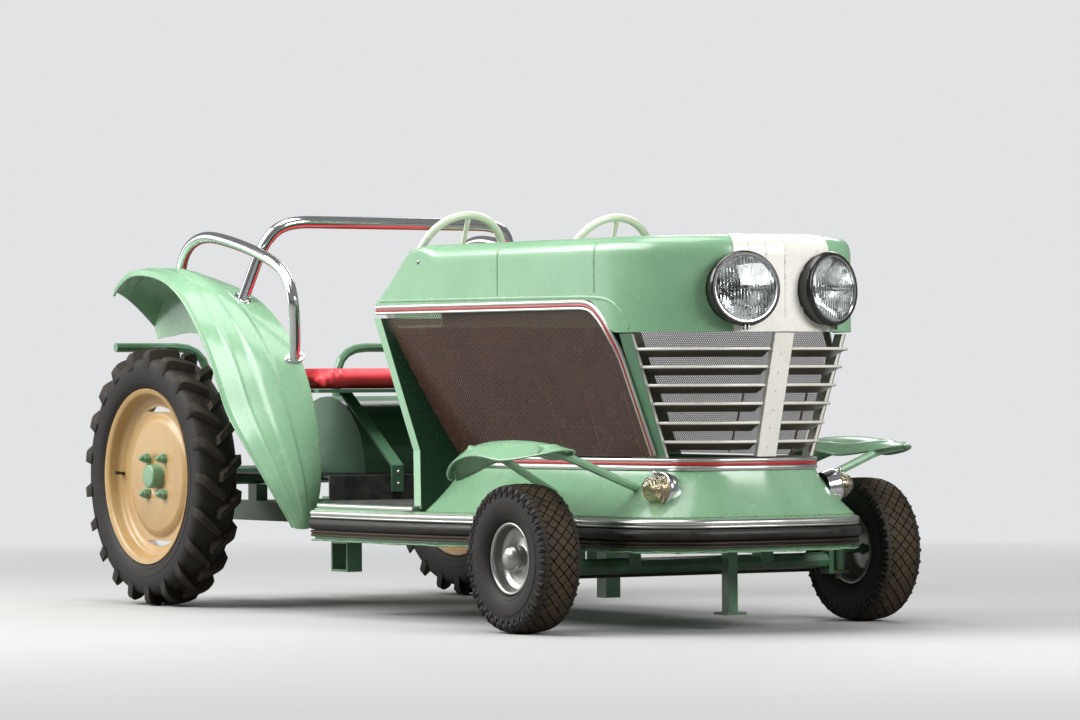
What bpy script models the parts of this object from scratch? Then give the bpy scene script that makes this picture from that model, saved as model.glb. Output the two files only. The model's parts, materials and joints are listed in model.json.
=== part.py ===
"""Children's fairground ride tractor, built as an assembly of separate pieces.

Metres, +Z up, +X towards the nose, +Y to the vehicle's left. The ground is z = 0.
Stations along x are measured from the front axle: the empty "tractor_frame" carries every piece
and stands over that axle, so that the whole object is centred on the world's origin.
"""

import math

import bmesh
import bpy
import numpy as np
from mathutils import Matrix, Vector

# Main layout
FRONT_AXLE_X = 0.7678
WHEELBASE = 1.593
REAR_X = -WHEELBASE
REAR_R = 0.303
REAR_Y = 0.4265
FRONT_R = 0.155
FRONT_Y = 0.435
KINGPIN_Y = 0.372
SHEET = 0.003

# Nose plan: every outline turns its front corner on an arc whose centre stands at this station.
ARC_X = 0.117
NOSE_CREASE = 0.008

# Bonnet
BONNET_TOP = 0.820
BONNET_EDGE_R = 0.035
BONNET_W, BONNET_R = 0.280, 0.200
BONNET_TAPER = 0.0694
NOSE_LOW = 0.621
SIDE_LOW = 0.689
BEND_REAR, BEND_FRONT = 0.020, 0.112
COWL_TOP_X, COWL_TIP_X = -0.626, -0.753
COCKPIT_X = -0.530
BAND_HALF = 0.120
BAND_REAR = 0.050
BAND_GAP, BAND_SKIN = 0.0006, 0.0016

# Grille: half width and corner radius of the louvres' plan at two heights
GRILLE_TOP, GRILLE_TOP_W, GRILLE_TOP_R = 0.620, 0.2790, 0.200
GRILLE_LOW, GRILLE_LOW_W, GRILLE_LOW_R = 0.355, 0.1900, 0.130
LOUVRE_Z = (0.587, 0.550, 0.512, 0.474, 0.434, 0.395)
LOUVRE_DEPTH = 0.032
POST_HALF = 0.024
CORNER_POST_X = (0.127, 0.160)

# Apron, belt and sill
BELT_Z, BELT_W, BELT_R, BELT_TAPER = 0.347, 0.195, 0.130, 0.083
BELT_HALF_BAND = 0.0125
SILL_Z, SILL_LOW, SILL_W, SILL_R = 0.240, 0.166, 0.285, 0.170
SILL_SPREAD, SILL_SPREAD_LENGTH = 0.100, 0.720
SILL_REAR = -0.950

# Firewall: a sloping slab across the body
FIREWALL_FOOT = (-0.527, 0.250)
FIREWALL_LEAN = -0.567
FIREWALL_T = 0.028
FIREWALL_TOP = 0.662

# Cockpit
FLOOR_Z = 0.255
DECK_Z, DECK_FRONT, DECK_REAR = 0.310, -0.985, -1.560
DRUM_X, DRUM_R = -1.385, 0.178
DASH_X, TRAY_Z = -0.5305, 0.640
SEAT_X = (-1.335, -1.035)
SEAT_Z = (0.506, 0.553)
SEAT_HALF = 0.322
WHEEL_TOP = (-0.589, 0.196, 0.896)
WHEEL_R = 0.118
WHEEL_TUBE = 0.009
WHEEL_TILT = math.radians(22.0)

LAMP_CENTRE = (0.338, 0.110, 0.7095)
LAMP_SPLAY = math.radians(12.8)
LAMP_TILT = math.radians(3.0)
SIDE_LAMP_BASE = (0.188, 0.216, 0.296)

# Chassis and steering gear
CROSS_MEMBERS = ((-1.800, 0.186), (-1.450, 0.186), (-0.919, 0.336), (-0.340, 0.186), (0.120, 0.186))
FRONT_TUBE_Z = 0.133
ARM_X, ARM_Z, ROD_Z = -0.062, 0.124, 0.1105
GUARD_X, GUARD_HALF = -0.0375, 0.2425

SIDES = (("right", -1.0), ("left", 1.0))


# Finishes: colour, metallic, roughness
FINISHES = {
    "green_paint": ((0.28, 0.52, 0.36), 0.0, 0.35),
    "white_paint": ((0.80, 0.80, 0.76), 0.0, 0.35),
    "cream_paint": ((0.80, 0.66, 0.40), 0.0, 0.40),
    "ivory_paint": ((0.70, 0.76, 0.62), 0.0, 0.35),
    "silver_trim": ((0.62, 0.60, 0.57), 0.9, 0.35),
    "chrome": ((0.75, 0.76, 0.78), 1.0, 0.12),
    "steel": ((0.55, 0.55, 0.55), 0.9, 0.35),
    "black_enamel": ((0.02, 0.02, 0.02), 0.0, 0.30),
    "black_rubber": ((0.03, 0.03, 0.03), 0.0, 0.60),
    "tyre_rubber": ((0.035, 0.035, 0.035), 0.0, 0.80),
    "lens_glass": ((0.85, 0.88, 0.88), 0.0, 0.05),
    "mesh_steel": ((0.10, 0.06, 0.05), 0.3, 0.70),
    "red_vinyl": ((0.65, 0.03, 0.05), 0.0, 0.35),
    "grey_mat": ((0.12, 0.12, 0.12), 0.0, 0.80),
}


def clear_scene():
    """Remove every object and make the two collections."""
    for old in list(bpy.data.objects):
        bpy.data.objects.remove(old, do_unlink=True)
    made = []
    for name in ("fairground_tractor", "cutters"):
        collection = bpy.data.collections.new(name)
        bpy.context.scene.collection.children.link(collection)
        made.append(collection)
    made[1].hide_render = True
    return made


PARTS, CUTTERS = clear_scene()


def make_material(name):
    """Principled material for one finish."""
    colour, metallic, roughness = FINISHES[name]
    material = bpy.data.materials.new(name)
    material.use_nodes = True
    shader = material.node_tree.nodes["Principled BSDF"]
    shader.inputs["Base Color"].default_value = (*colour, 1.0)
    shader.inputs["Metallic"].default_value = metallic
    shader.inputs["Roughness"].default_value = roughness
    return material


MATERIALS = {name: make_material(name) for name in FINISHES}

FRAME = bpy.data.objects.new("tractor_frame", None)
FRAME.location = (FRONT_AXLE_X, 0.0, 0.0)
PARTS.objects.link(FRAME)
bpy.context.view_layer.update()


def place(name, data, finish, matrix=None, cutter=False):
    """Object for this data, carried by the frame; a cutter is hidden and drawn as wire."""
    obj = bpy.data.objects.new(name, data)
    (CUTTERS if cutter else PARTS).objects.link(obj)
    obj.parent = FRAME
    if matrix is not None:
        obj.matrix_local = matrix
    if finish:
        obj.data.materials.append(MATERIALS[finish])
    if cutter:
        obj.hide_render = True
        obj.display_type = "WIRE"
    return obj


def smooth(mesh, degrees=35.0):
    """Smooth shading, with edges sharper than this angle kept sharp."""
    mesh.shade_smooth()
    mesh.set_sharp_from_angle(angle=math.radians(degrees))


def mesh_of(name, build):
    """Mesh made by a function that fills a bmesh."""
    shape = bmesh.new()
    build(shape)
    bmesh.ops.remove_doubles(shape, verts=shape.verts, dist=1e-6)
    mesh = bpy.data.meshes.new(name)
    shape.to_mesh(mesh)
    shape.free()
    smooth(mesh)
    return mesh


def box(name, low, high, finish, bevel=0.0, cutter=False):
    """Axis-aligned box between two corners, with rounded edges where a bevel is given."""
    low, high = Vector(low), Vector(high)

    def build(shape):
        bmesh.ops.create_cube(shape, size=1.0)
        size = high - low
        bmesh.ops.transform(shape, matrix=Matrix.Diagonal((*size, 1.0)), verts=shape.verts)

    obj = place(name, mesh_of(name, build), finish, Matrix.Translation((low + high) / 2), cutter)
    if bevel:
        edge = obj.modifiers.new("rounded_edges", "BEVEL")
        edge.width = bevel
        edge.segments = 2
    return obj


def loft(name, rings, finish, cutter=False):
    """Closed body through rings of points, each ring a closed loop, with flat ends."""
    rings = np.asarray(rings, float)
    count, around = rings.shape[:2]

    def build(shape):
        verts = [[shape.verts.new(p) for p in ring] for ring in rings]
        for a in range(count - 1):
            for i in range(around):
                j = (i + 1) % around
                shape.faces.new((verts[a][i], verts[a][j], verts[a + 1][j]))
                shape.faces.new((verts[a][i], verts[a + 1][j], verts[a + 1][i]))
        shape.faces.new(list(reversed(verts[0])))
        shape.faces.new(verts[-1])
        bmesh.ops.recalc_face_normals(shape, faces=shape.faces)

    return place(name, mesh_of(name, build), finish, None, cutter)


def skin(name, outer, inner, finish, cutter=False):
    """Closed sheet between two grids of points, split along one diagonal so that copies agree."""
    outer, inner = np.asarray(outer, float), np.asarray(inner, float)
    rows, cols = outer.shape[:2]

    def build(shape):
        out, ins = [[[shape.verts.new(p) for p in row] for row in grid] for grid in (outer, inner)]
        for i in range(rows - 1):
            for j in range(cols - 1):
                for layer in (out, ins):
                    near, far = layer[i][j], layer[i + 1][j + 1]
                    shape.faces.new((near, layer[i + 1][j], far))
                    shape.faces.new((near, far, layer[i][j + 1]))
        rim = [(i, 0) for i in range(rows)] + [(rows - 1, j) for j in range(1, cols)]
        rim += [(i, cols - 1) for i in range(rows - 2, -1, -1)] + [(0, j) for j in range(cols - 2, 0, -1)]
        for (a, b), (c, d) in zip(rim, rim[1:] + rim[:1]):
            shape.faces.new((out[a][b], out[c][d], ins[c][d], ins[a][b]))
        bmesh.ops.recalc_face_normals(shape, faces=shape.faces)

    return place(name, mesh_of(name, build), finish, None, cutter)


def turned(name, profile, finish, matrix, steps=40, ring=False, cutter=False):
    """Shape turned about its own z axis. The profile is (radius, height), down the outer side."""
    mesh = bpy.data.meshes.new(name)
    points = [(r, 0.0, h) for r, h in profile]
    edges = [(i, i + 1) for i in range(len(points) - 1)]
    if ring:
        edges.append((len(points) - 1, 0))
    mesh.from_pydata(points, edges, [])
    obj = place(name, mesh, finish, matrix, cutter)
    screw = obj.modifiers.new("turned", "SCREW")
    screw.steps = steps
    screw.render_steps = steps
    screw.use_merge_vertices = True
    screw.merge_threshold = 0.00005
    screw.use_smooth_shade = True
    return obj


def tube(name, points, radius, finish, closed=False, cutter=False):
    """Round tube along a polyline, with filled ends."""
    curve = bpy.data.curves.new(name, "CURVE")
    curve.dimensions = "3D"
    spline = curve.splines.new("POLY")
    spline.points.add(len(points) - 1)
    for target, point in zip(spline.points, points):
        target.co = (*point, 1.0)
    spline.use_cyclic_u = closed
    spline.use_smooth = True
    curve.bevel_depth = radius
    curve.bevel_resolution = 2
    curve.use_fill_caps = not closed
    return place(name, curve, finish, None, cutter)


def as_mesh(obj):
    """Replace a curve, or a mesh with modifiers, by the plain closed mesh that it evaluates to."""
    bpy.context.view_layer.update()
    graph = bpy.context.evaluated_depsgraph_get()
    mesh = bpy.data.meshes.new_from_object(obj.evaluated_get(graph))
    shape = bmesh.new()
    shape.from_mesh(mesh)
    bmesh.ops.remove_doubles(shape, verts=shape.verts, dist=1e-6)
    shape.to_mesh(mesh)
    shape.free()
    name, matrix, hidden = obj.name, obj.matrix_world.copy(), obj.hide_render
    collection = CUTTERS if hidden else PARTS
    bpy.data.objects.remove(obj, do_unlink=True)
    made = bpy.data.objects.new(name, mesh)
    collection.objects.link(made)
    made.parent = FRAME
    made.matrix_world = matrix
    made.hide_render = hidden
    if hidden:
        made.display_type = "WIRE"
    return made


def combine(target, others, operation):
    """Boolean of one mesh with others, applied at once; the others are removed."""
    if target.type == "CURVE":
        target = as_mesh(target)
    for other in others:
        other = as_mesh(other) if other.type == "CURVE" else other
        step = target.modifiers.new(operation.lower(), "BOOLEAN")
        step.operation = operation
        step.solver = "EXACT"
        step.object = other
        name = other.name
        target = as_mesh(target)
        bpy.data.objects.remove(bpy.data.objects[name], do_unlink=True)
    smooth(target.data)
    return target


def joined(name, pieces):
    """One closed body from pieces that run into each other."""
    whole = combine(pieces[0], pieces[1:], "UNION")
    whole.name = name
    whole.data.name = name
    return whole


def cut(target, cutters):
    """The target with the cutters' space taken out."""
    return combine(target, cutters, "DIFFERENCE")


def bent(points, radius, steps=5):
    """Polyline whose inner corners are turned into arcs of about this radius."""
    points = [Vector(p) for p in points]
    path = [points[0]]
    for before, corner, after in zip(points, points[1:], points[2:]):
        back, ahead = (before - corner), (after - corner)
        reach = min(radius, 0.48 * back.length, 0.48 * ahead.length)
        start, end = corner + back.normalized() * reach, corner + ahead.normalized() * reach
        for k in range(steps + 1):
            f = k / steps
            path.append((1 - f) ** 2 * start + 2 * f * (1 - f) * corner + f**2 * end)
    path.append(points[-1])
    return [tuple(p) for p in path]


def along(origin, direction, up=(0.0, 0.0, 1.0)):
    """Matrix that stands a turned shape at a point, its z axis along a direction."""
    z = Vector(direction).normalized()
    x = Vector(up).cross(z)
    x = Vector((1.0, 0.0, 0.0)) if x.length < 1e-6 else x.normalized()
    y = z.cross(x)
    turn = Matrix((x, y, z)).transposed().to_4x4()
    return Matrix.Translation(origin) @ turn


def ease(value, low, high):
    """Smooth step from 0 at low to 1 at high."""
    f = min(1.0, max(0.0, (value - low) / (high - low)))
    return f * f * (3.0 - 2.0 * f)


def nose_arc(half_width, radius, start_x=ARC_X, arc_steps=6, front_steps=2, crease=NOSE_CREASE):
    """Right half of a nose plan as (x, half width, normal x, normal y), from start_x to the centre."""
    first = math.asin(min(1.0, (start_x - ARC_X) / radius))
    rows = []
    for k in range(arc_steps + 1):
        a = first + (math.pi / 2 - first) * k / arc_steps
        x, y = ARC_X + radius * math.sin(a), half_width - radius * (1 - math.cos(a))
        rows.append((x, y, math.sin(a), math.cos(a)))
    flat = half_width - radius
    for k in range(1, front_steps + 1):
        f = k / front_steps
        rows.append((ARC_X + radius + crease * f, flat * (1 - f), 1.0, 0.0))
    return rows


def both_halves(rows):
    """Full plan from its right half: (x, y, normal x, normal y), rear right round to rear left."""
    right = [(x, -w, nx, -ny) for x, w, nx, ny in rows]
    left = [(x, w, nx, ny) for x, w, nx, ny in reversed(rows[:-1])]
    return right + left


# Bonnet


def bonnet_half_width(x):
    """Half width of the bonnet's straight side at a station."""
    return BONNET_W + (ARC_X - x) * BONNET_TAPER


def bonnet_plan():
    """Right half of the bonnet's plan, rear first."""
    stations = (
        COWL_TIP_X, -0.690, COWL_TOP_X, -0.580, COCKPIT_X, -0.400,
        -0.260, -0.120, 0.020, 0.043, 0.066, 0.090,
    )
    side = [(x, bonnet_half_width(x), BONNET_TAPER, 1.0) for x in stations]
    return side + nose_arc(BONNET_W, BONNET_R)


def bonnet_heights(x):
    """Lower edge, top and edge radius of the bonnet's side at a station."""
    low = SIDE_LOW - (SIDE_LOW - NOSE_LOW) * ease(x, BEND_REAR, BEND_FRONT)
    top = BONNET_TOP
    if x < COWL_TOP_X:
        f = (x - COWL_TIP_X) / (COWL_TOP_X - COWL_TIP_X)
        top = SIDE_LOW + 0.006 + (BONNET_TOP - 0.012 - SIDE_LOW - 0.006) * f
    elif x < -0.56:
        top = BONNET_TOP - 0.012 * (1 - ease(x, COWL_TOP_X, -0.56))
    radius = 0.008 + (BONNET_EDGE_R - 0.008) * ease(x, -0.60, COCKPIT_X)
    return low, top, min(radius, 0.4 * (top - low))


def bonnet_grid(grow):
    """Points of the bonnet's skin, grown outwards: stations by rings, lower edge to the top."""
    grid = []
    for x, y, nx, ny in both_halves(bonnet_plan()):
        low, top, radius = bonnet_heights(x)
        top += grow
        radius = max(0.0015, radius + grow)
        ring = [(0.0, low), (0.0, (low + top - radius) / 2), (0.0, top - radius)]
        for k in range(1, 5):
            a = math.pi / 2 * k / 4
            ring.append((radius * (1 - math.cos(a)), top - radius * (1 - math.sin(a))))
        grid.append([(x + nx * (grow - d), y + ny * (grow - d), z) for d, z in ring])
    return np.array(grid)


def make_bonnet():
    """Hollow sheet bonnet: sides, rounded shoulder, flat top, and cheeks beside the cockpit."""
    count = len(bonnet_plan())
    sheets = []
    for grow in (0.0, -SHEET):
        grid = bonnet_grid(grow)
        right = grid[: count - 1]
        left = grid[: count - 1 : -1]
        middle = np.stack([(right[:, -1] + left[:, -1]) / 2], 1)
        across = np.concatenate([right, middle, left[:, ::-1]], 1)
        centre = grid[count - 1]
        sheets.append((across, centre))
    (outer, outer_tip), (inner, inner_tip) = sheets
    rings = outer.shape[1]
    side_rings = (rings - 1) // 2
    first_top = [p[0] for p in bonnet_plan()].index(COCKPIT_X)

    def build(shape):
        layers = []
        for grid, tip in ((outer, outer_tip), (inner, inner_tip)):
            rows = [[shape.verts.new(p) for p in row] for row in grid]
            end = [shape.verts.new(p) for p in tip]
            rows.append(end + [end[-1]] + end[::-1])
            layers.append(rows)
        out, ins = layers
        cells = [
            (i, j)
            for i in range(len(out) - 1)
            for j in range(rings - 1)
            if i >= first_top or j not in (side_rings - 1, side_rings)
        ]
        edges = {}
        for i, j in cells:
            for rows, turn in ((out, 1), (ins, -1)):
                loop = [rows[i][j], rows[i + 1][j], rows[i + 1][j + 1], rows[i][j + 1]]
                loop = [v for k, v in enumerate(loop) if v is not loop[k - 1]]
                shape.faces.new(loop[::turn])
            corners = ((i, j), (i + 1, j), (i + 1, j + 1), (i, j + 1))
            for a, b in zip(corners, corners[1:] + corners[:1]):
                pair = (out[a[0]][a[1]], out[b[0]][b[1]])
                if pair[0] is pair[1]:
                    continue
                edges.setdefault(frozenset(pair), []).append((a, b))
        for found in edges.values():
            if len(found) == 1:
                a, b = found[0]
                shape.faces.new((out[b[0]][b[1]], out[a[0]][a[1]], ins[a[0]][a[1]], ins[b[0]][b[1]]))
        bmesh.ops.recalc_face_normals(shape, faces=shape.faces)

    return place("bonnet", mesh_of("bonnet", build), "green_paint")


def make_nose_band():
    """White sheet that lies over the middle of the nose and runs back on the bonnet's top."""
    plan = both_halves(bonnet_plan())
    ys = np.array([p[1] for p in plan])
    columns = np.array([-BAND_HALF, -0.080, -0.040, 0.0, 0.040, 0.080, BAND_HALF])
    grids = []
    for grow in (BAND_GAP + BAND_SKIN, BAND_GAP):
        grid = bonnet_grid(grow)
        rows = []
        for column in columns:
            k = int(np.clip(np.searchsorted(ys, column), 1, len(ys) - 1))
            f = (column - ys[k - 1]) / (ys[k] - ys[k - 1])
            line = grid[k - 1] * (1 - f) + grid[k] * f
            back = line[-1].copy()
            back[0] = BAND_REAR
            rows.append(np.vstack([line, back]))
        grids.append(np.array(rows))
    return skin("nose_band", grids[0], grids[1], "white_paint")


def lamp_axis(side):
    """Direction in which a headlamp looks."""
    level = math.cos(LAMP_TILT)
    return (math.cos(LAMP_SPLAY) * level, side * math.sin(LAMP_SPLAY) * level, math.sin(LAMP_TILT))


def make_headlamps(bonnet, band):
    """Round lamps let into holes in the nose: can with its bezel, and a domed lens."""
    can = [
        (0.0, -0.046), (0.040, -0.036), (0.062, -0.014), (0.069, -0.002), (0.069, 0.006), (0.073, 0.006),
        (0.077, 0.001), (0.077, -0.007), (0.0725, -0.012), (0.0725, -0.040), (0.060, -0.056), (0.0, -0.066),
    ]
    lens = [
        (0.0, 0.0125), (0.030, 0.0112), (0.052, 0.0078), (0.0685, 0.0024), (0.0685, -0.0012), (0.0, -0.0012),
    ]
    hole = [(0.0, 0.04), (0.0735, 0.04), (0.0735, -0.12), (0.0, -0.12)]
    holes = []
    for word, side in SIDES:
        centre = (LAMP_CENTRE[0], side * LAMP_CENTRE[1], LAMP_CENTRE[2])
        stand = along(centre, lamp_axis(side))
        turned(f"headlamp_{word}", can, "black_enamel", stand, 32)
        turned(f"headlamp_lens_{word}", lens, "lens_glass", stand, 32)
        for number in (1, 2):
            holes.append(turned(f"hole_{word}_{number}", hole, None, stand, 32, cutter=True))
    cut(bonnet, holes[0::2])
    cut(band, holes[1::2])


# Grille


def grille_outline(z):
    """Half width and corner radius of the grille's plan at a height."""
    f = (z - GRILLE_LOW) / (GRILLE_TOP - GRILLE_LOW)
    return GRILLE_LOW_W + (GRILLE_TOP_W - GRILLE_LOW_W) * f, GRILLE_LOW_R + (GRILLE_TOP_R - GRILLE_LOW_R) * f


def painted(obj, finish):
    """Give a joined body its single finish."""
    obj.data.materials.clear()
    obj.data.materials.append(MATERIALS[finish])
    return obj


def make_grille():
    """Centre post, and a frame of bent louvres between two corner posts."""
    blade = [
        (0.0, 0.0020), (0.0, -0.0045), (-0.0035, -0.0045),
        (-LOUVRE_DEPTH, -0.0185), (-LOUVRE_DEPTH, -0.0160), (-0.0035, 0.0020),
    ]
    pieces = []
    near, far = CORNER_POST_X
    for side in (-1.0, 1.0):
        rings = []
        for z in (GRILLE_LOW + 0.0065, GRILLE_TOP - 0.002):
            w = grille_outline(z)[0] - 0.0005
            corners = ((near, w), (far, w - 0.004), (far, w - 0.012), (near, w - 0.008))
            rings.append([(x, side * y, z) for x, y in corners])
        pieces.append(loft(f"corner_post_{int(side)}", rings, None))
    for number, z in enumerate(LOUVRE_Z, 1):
        w, r = grille_outline(z)
        plan = both_halves(nose_arc(w - 0.003, r - 0.003, 0.150, 7, 3, 0.004))
        rings = [[(x + nx * d, y + ny * d, z + h) for d, h in blade] for x, y, nx, ny in plan]
        pieces.append(loft(f"louvre_{number}", rings, None))
    notch = post_body("post_notch", POST_HALF + 0.0006, 0.0006, None, True)
    painted(cut(joined("grille", pieces), [notch]), "white_paint")
    post_body("grille_post", POST_HALF, 0.0, "white_paint", False)


def post_body(name, half, grow, finish, cutter):
    """Leaning centre post in front of the louvres."""
    rings = []
    for z in (GRILLE_LOW + 0.008 - grow * 10, GRILLE_TOP - 0.0015 + grow * 10):
        front = ARC_X + grille_outline(z)[1] + 0.006
        far, near = front + grow * 20, front - 0.012 - grow
        rings.append([(far, -half, z), (far, half, z), (near, half, z), (near, -half, z)])
    return loft(name, rings, finish, cutter)


# Apron, sill and mouldings


def belt_half_width(x):
    """Half width of the belt line behind the nose arc."""
    return BELT_W + (ARC_X - x) * BELT_TAPER


def sill_half_width(x):
    """Half width of the sill behind the nose arc: it spreads, then runs straight."""
    return SILL_W + SILL_SPREAD * math.sin(math.pi / 2 * min(1.0, max(0.0, -x / SILL_SPREAD_LENGTH)))


def sill_plan(rear, grow=0.0, count=9):
    """Plan of the sill, grown outwards, from a rear station round the nose."""
    stations = np.linspace(rear, ARC_X - 0.04, count)
    side = [(x, sill_half_width(x), 0.1, 1.0) for x in stations]
    rows = both_halves(side + nose_arc(SILL_W, SILL_R, crease=0.004))
    return [(x + nx * grow, y + ny * grow, nx, ny) for x, y, nx, ny in rows]


def firewall_rear(z):
    """Station of the firewall's rear face at a height."""
    return FIREWALL_FOOT[0] + FIREWALL_LEAN * (z - FIREWALL_FOOT[1])


def apron_grid(grow=0.0):
    """Flared skin between the belt line and the sill, in front of the firewall."""
    levels = 6
    top = BELT_Z - BELT_HALF_BAND - 0.0006
    grid = []
    for level in range(levels):
        f = level / (levels - 1)
        z = top + (SILL_Z + 0.0006 - top) * f
        flare = f**1.25
        rear = firewall_rear(z) + FIREWALL_T + 0.001
        side = []
        for x in np.linspace(rear, ARC_X - 0.04, 7):
            w = belt_half_width(x) * (1 - flare) + sill_half_width(x) * flare
            side.append((x, w, 0.1, 1.0))
        half_width = BELT_W * (1 - flare) + SILL_W * flare
        nose = nose_arc(half_width, BELT_R * (1 - flare) + SILL_R * flare, crease=0.004)
        grid.append([(x + nx * grow, y + ny * grow, z) for x, y, nx, ny in both_halves(side + nose)])
    return np.array(grid)


def band_sweep(name, plan, section, finish):
    """Moulding whose section, (outwards, height), is carried round a plan."""
    rings = [[(x + nx * d, y + ny * d, h) for d, h in section] for x, y, nx, ny in plan]
    return loft(name, rings, finish)


def make_apron():
    """Apron, belt band, sill, and the bumper channel with its rubber."""
    skin("apron", apron_grid(), apron_grid(-SHEET), "green_paint")
    low, high = BELT_Z - BELT_HALF_BAND, BELT_Z + BELT_HALF_BAND
    rear = firewall_rear(low) + FIREWALL_T + 0.002
    belt_side = [(x, belt_half_width(x), 0.08, 1.0) for x in np.linspace(rear, ARC_X - 0.04, 6)]
    belt = both_halves(belt_side + nose_arc(BELT_W, BELT_R, crease=0.004))
    section = [
        (0.0040, low + 0.003), (0.0040, high - 0.003), (0.0010, high),
        (-0.0060, high), (-0.0060, low), (0.0010, low),
    ]
    band_sweep("belt_trim", belt, section, "silver_trim")
    plan = sill_plan(SILL_REAR)
    sill = [
        (0.0, SILL_Z), (0.0, SILL_LOW + 0.004), (0.010, SILL_LOW + 0.004), (0.010, SILL_LOW),
        (-0.016, SILL_LOW), (-0.016, SILL_LOW + 0.004), (-0.004, SILL_LOW + 0.004), (-0.004, SILL_Z),
    ]
    band_sweep("sill", plan, sill, "green_paint")
    channel = [
        (0.0006, 0.236), (0.009, 0.235), (0.012, 0.226), (0.010, 0.214), (0.005, 0.2125), (0.004, 0.193),
        (0.009, 0.192), (0.012, 0.184), (0.009, 0.176), (0.0006, 0.1745),
    ]
    band_sweep("bumper_channel", plan, channel, "silver_trim")
    rubber = [(0.0056, 0.2118), (0.012, 0.211), (0.0165, 0.203), (0.012, 0.1945), (0.0050, 0.1936)]
    band_sweep("bumper_rubber", plan, rubber, "black_rubber")


def make_side_lamps():
    """Cone-shaped marker lamps on the apron's front corners."""
    for word, side in SIDES:
        base = Vector((SIDE_LAMP_BASE[0], side * SIDE_LAMP_BASE[1], SIDE_LAMP_BASE[2]))
        lamp = [
            (0.0, 0.052), (0.010, 0.050), (0.020, 0.040), (0.031, 0.014), (0.033, 0.010), (0.038, 0.008),
            (0.038, 0.000), (0.034, -0.030), (0.0, -0.030),
        ]
        body = turned(f"side_lamp_{word}", lamp, "chrome", along(base, (0.10, side, 0.12)), 24)
        core = loft(f"apron_core_{word}", apron_grid(0.0005), None, True)
        cut(as_mesh(body), [core])


# Side panels and trims


def make_side_panels():
    """Expanded-metal side panels in front of the firewall, with the banded trim round them."""
    rows = (
        (0.3615, 0.121), (0.440, 0.121), (0.520, 0.121), (0.590, 0.116),
        (0.630, 0.085), (0.655, 0.045), (0.6695, 0.0),
    )
    for word, side in SIDES:
        sheets = []
        for depth in (0.0, 0.003):
            grid = []
            for z, front in rows:
                rise = (z - rows[0][0]) / (rows[-1][0] - rows[0][0])
                rear = firewall_rear(z) + FIREWALL_T + 0.002
                taper = 0.089 - 0.032 * rise
                line = []
                for x in np.linspace(rear, front, 5):
                    w = 0.187 + 0.091 * (1 - (1 - rise) ** 1.25) + (0.121 - x) * taper
                    line.append((x, side * (w - depth), z))
                grid.append(line)
            sheets.append(grid)
        skin(f"side_mesh_{word}", sheets[0], sheets[1], "mesh_steel")
        route = [
            (COWL_TIP_X + 0.002, 0.3385, 0.679), (0.000, 0.2870, 0.679), (0.026, 0.2855, 0.675),
            (0.048, 0.2835, 0.657), (0.068, 0.2815, 0.637), (0.088, 0.2780, 0.619), (0.104, 0.2735, 0.599),
            (0.1135, 0.2660, 0.573), (0.1265, 0.1950, 0.3665),
        ]
        make_ribbon(f"side_trim_{word}", route, side, 0.0180, 0.004)


def make_ribbon(name, route, side, width, thickness):
    """Flat band along a route on a side panel: width across the route, thickness outwards."""
    points = [Vector((x, side * y, z)) for x, y, z in route]
    rings = []
    for k, point in enumerate(points):
        tangent = (points[min(k + 1, len(points) - 1)] - points[max(k - 1, 0)]).normalized()
        across = tangent.cross(Vector((0.0, side, -0.20))).normalized()
        outwards = across.cross(tangent).normalized()
        if outwards.y * side < 0:
            outwards.negate()
        half = across * (width / 2)
        deep = outwards * thickness
        rings.append([point - half, point + half, point + half + deep, point - half + deep])
    return loft(name, rings, "silver_trim")


# Cockpit


def profile_plate(name, outline, low_y, high_y, finish):
    """Plate cut to an outline in x and z, between two stations across the vehicle."""
    return loft(name, [[(x, y, z) for x, z in outline] for y in (low_y, high_y)], finish)


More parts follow.
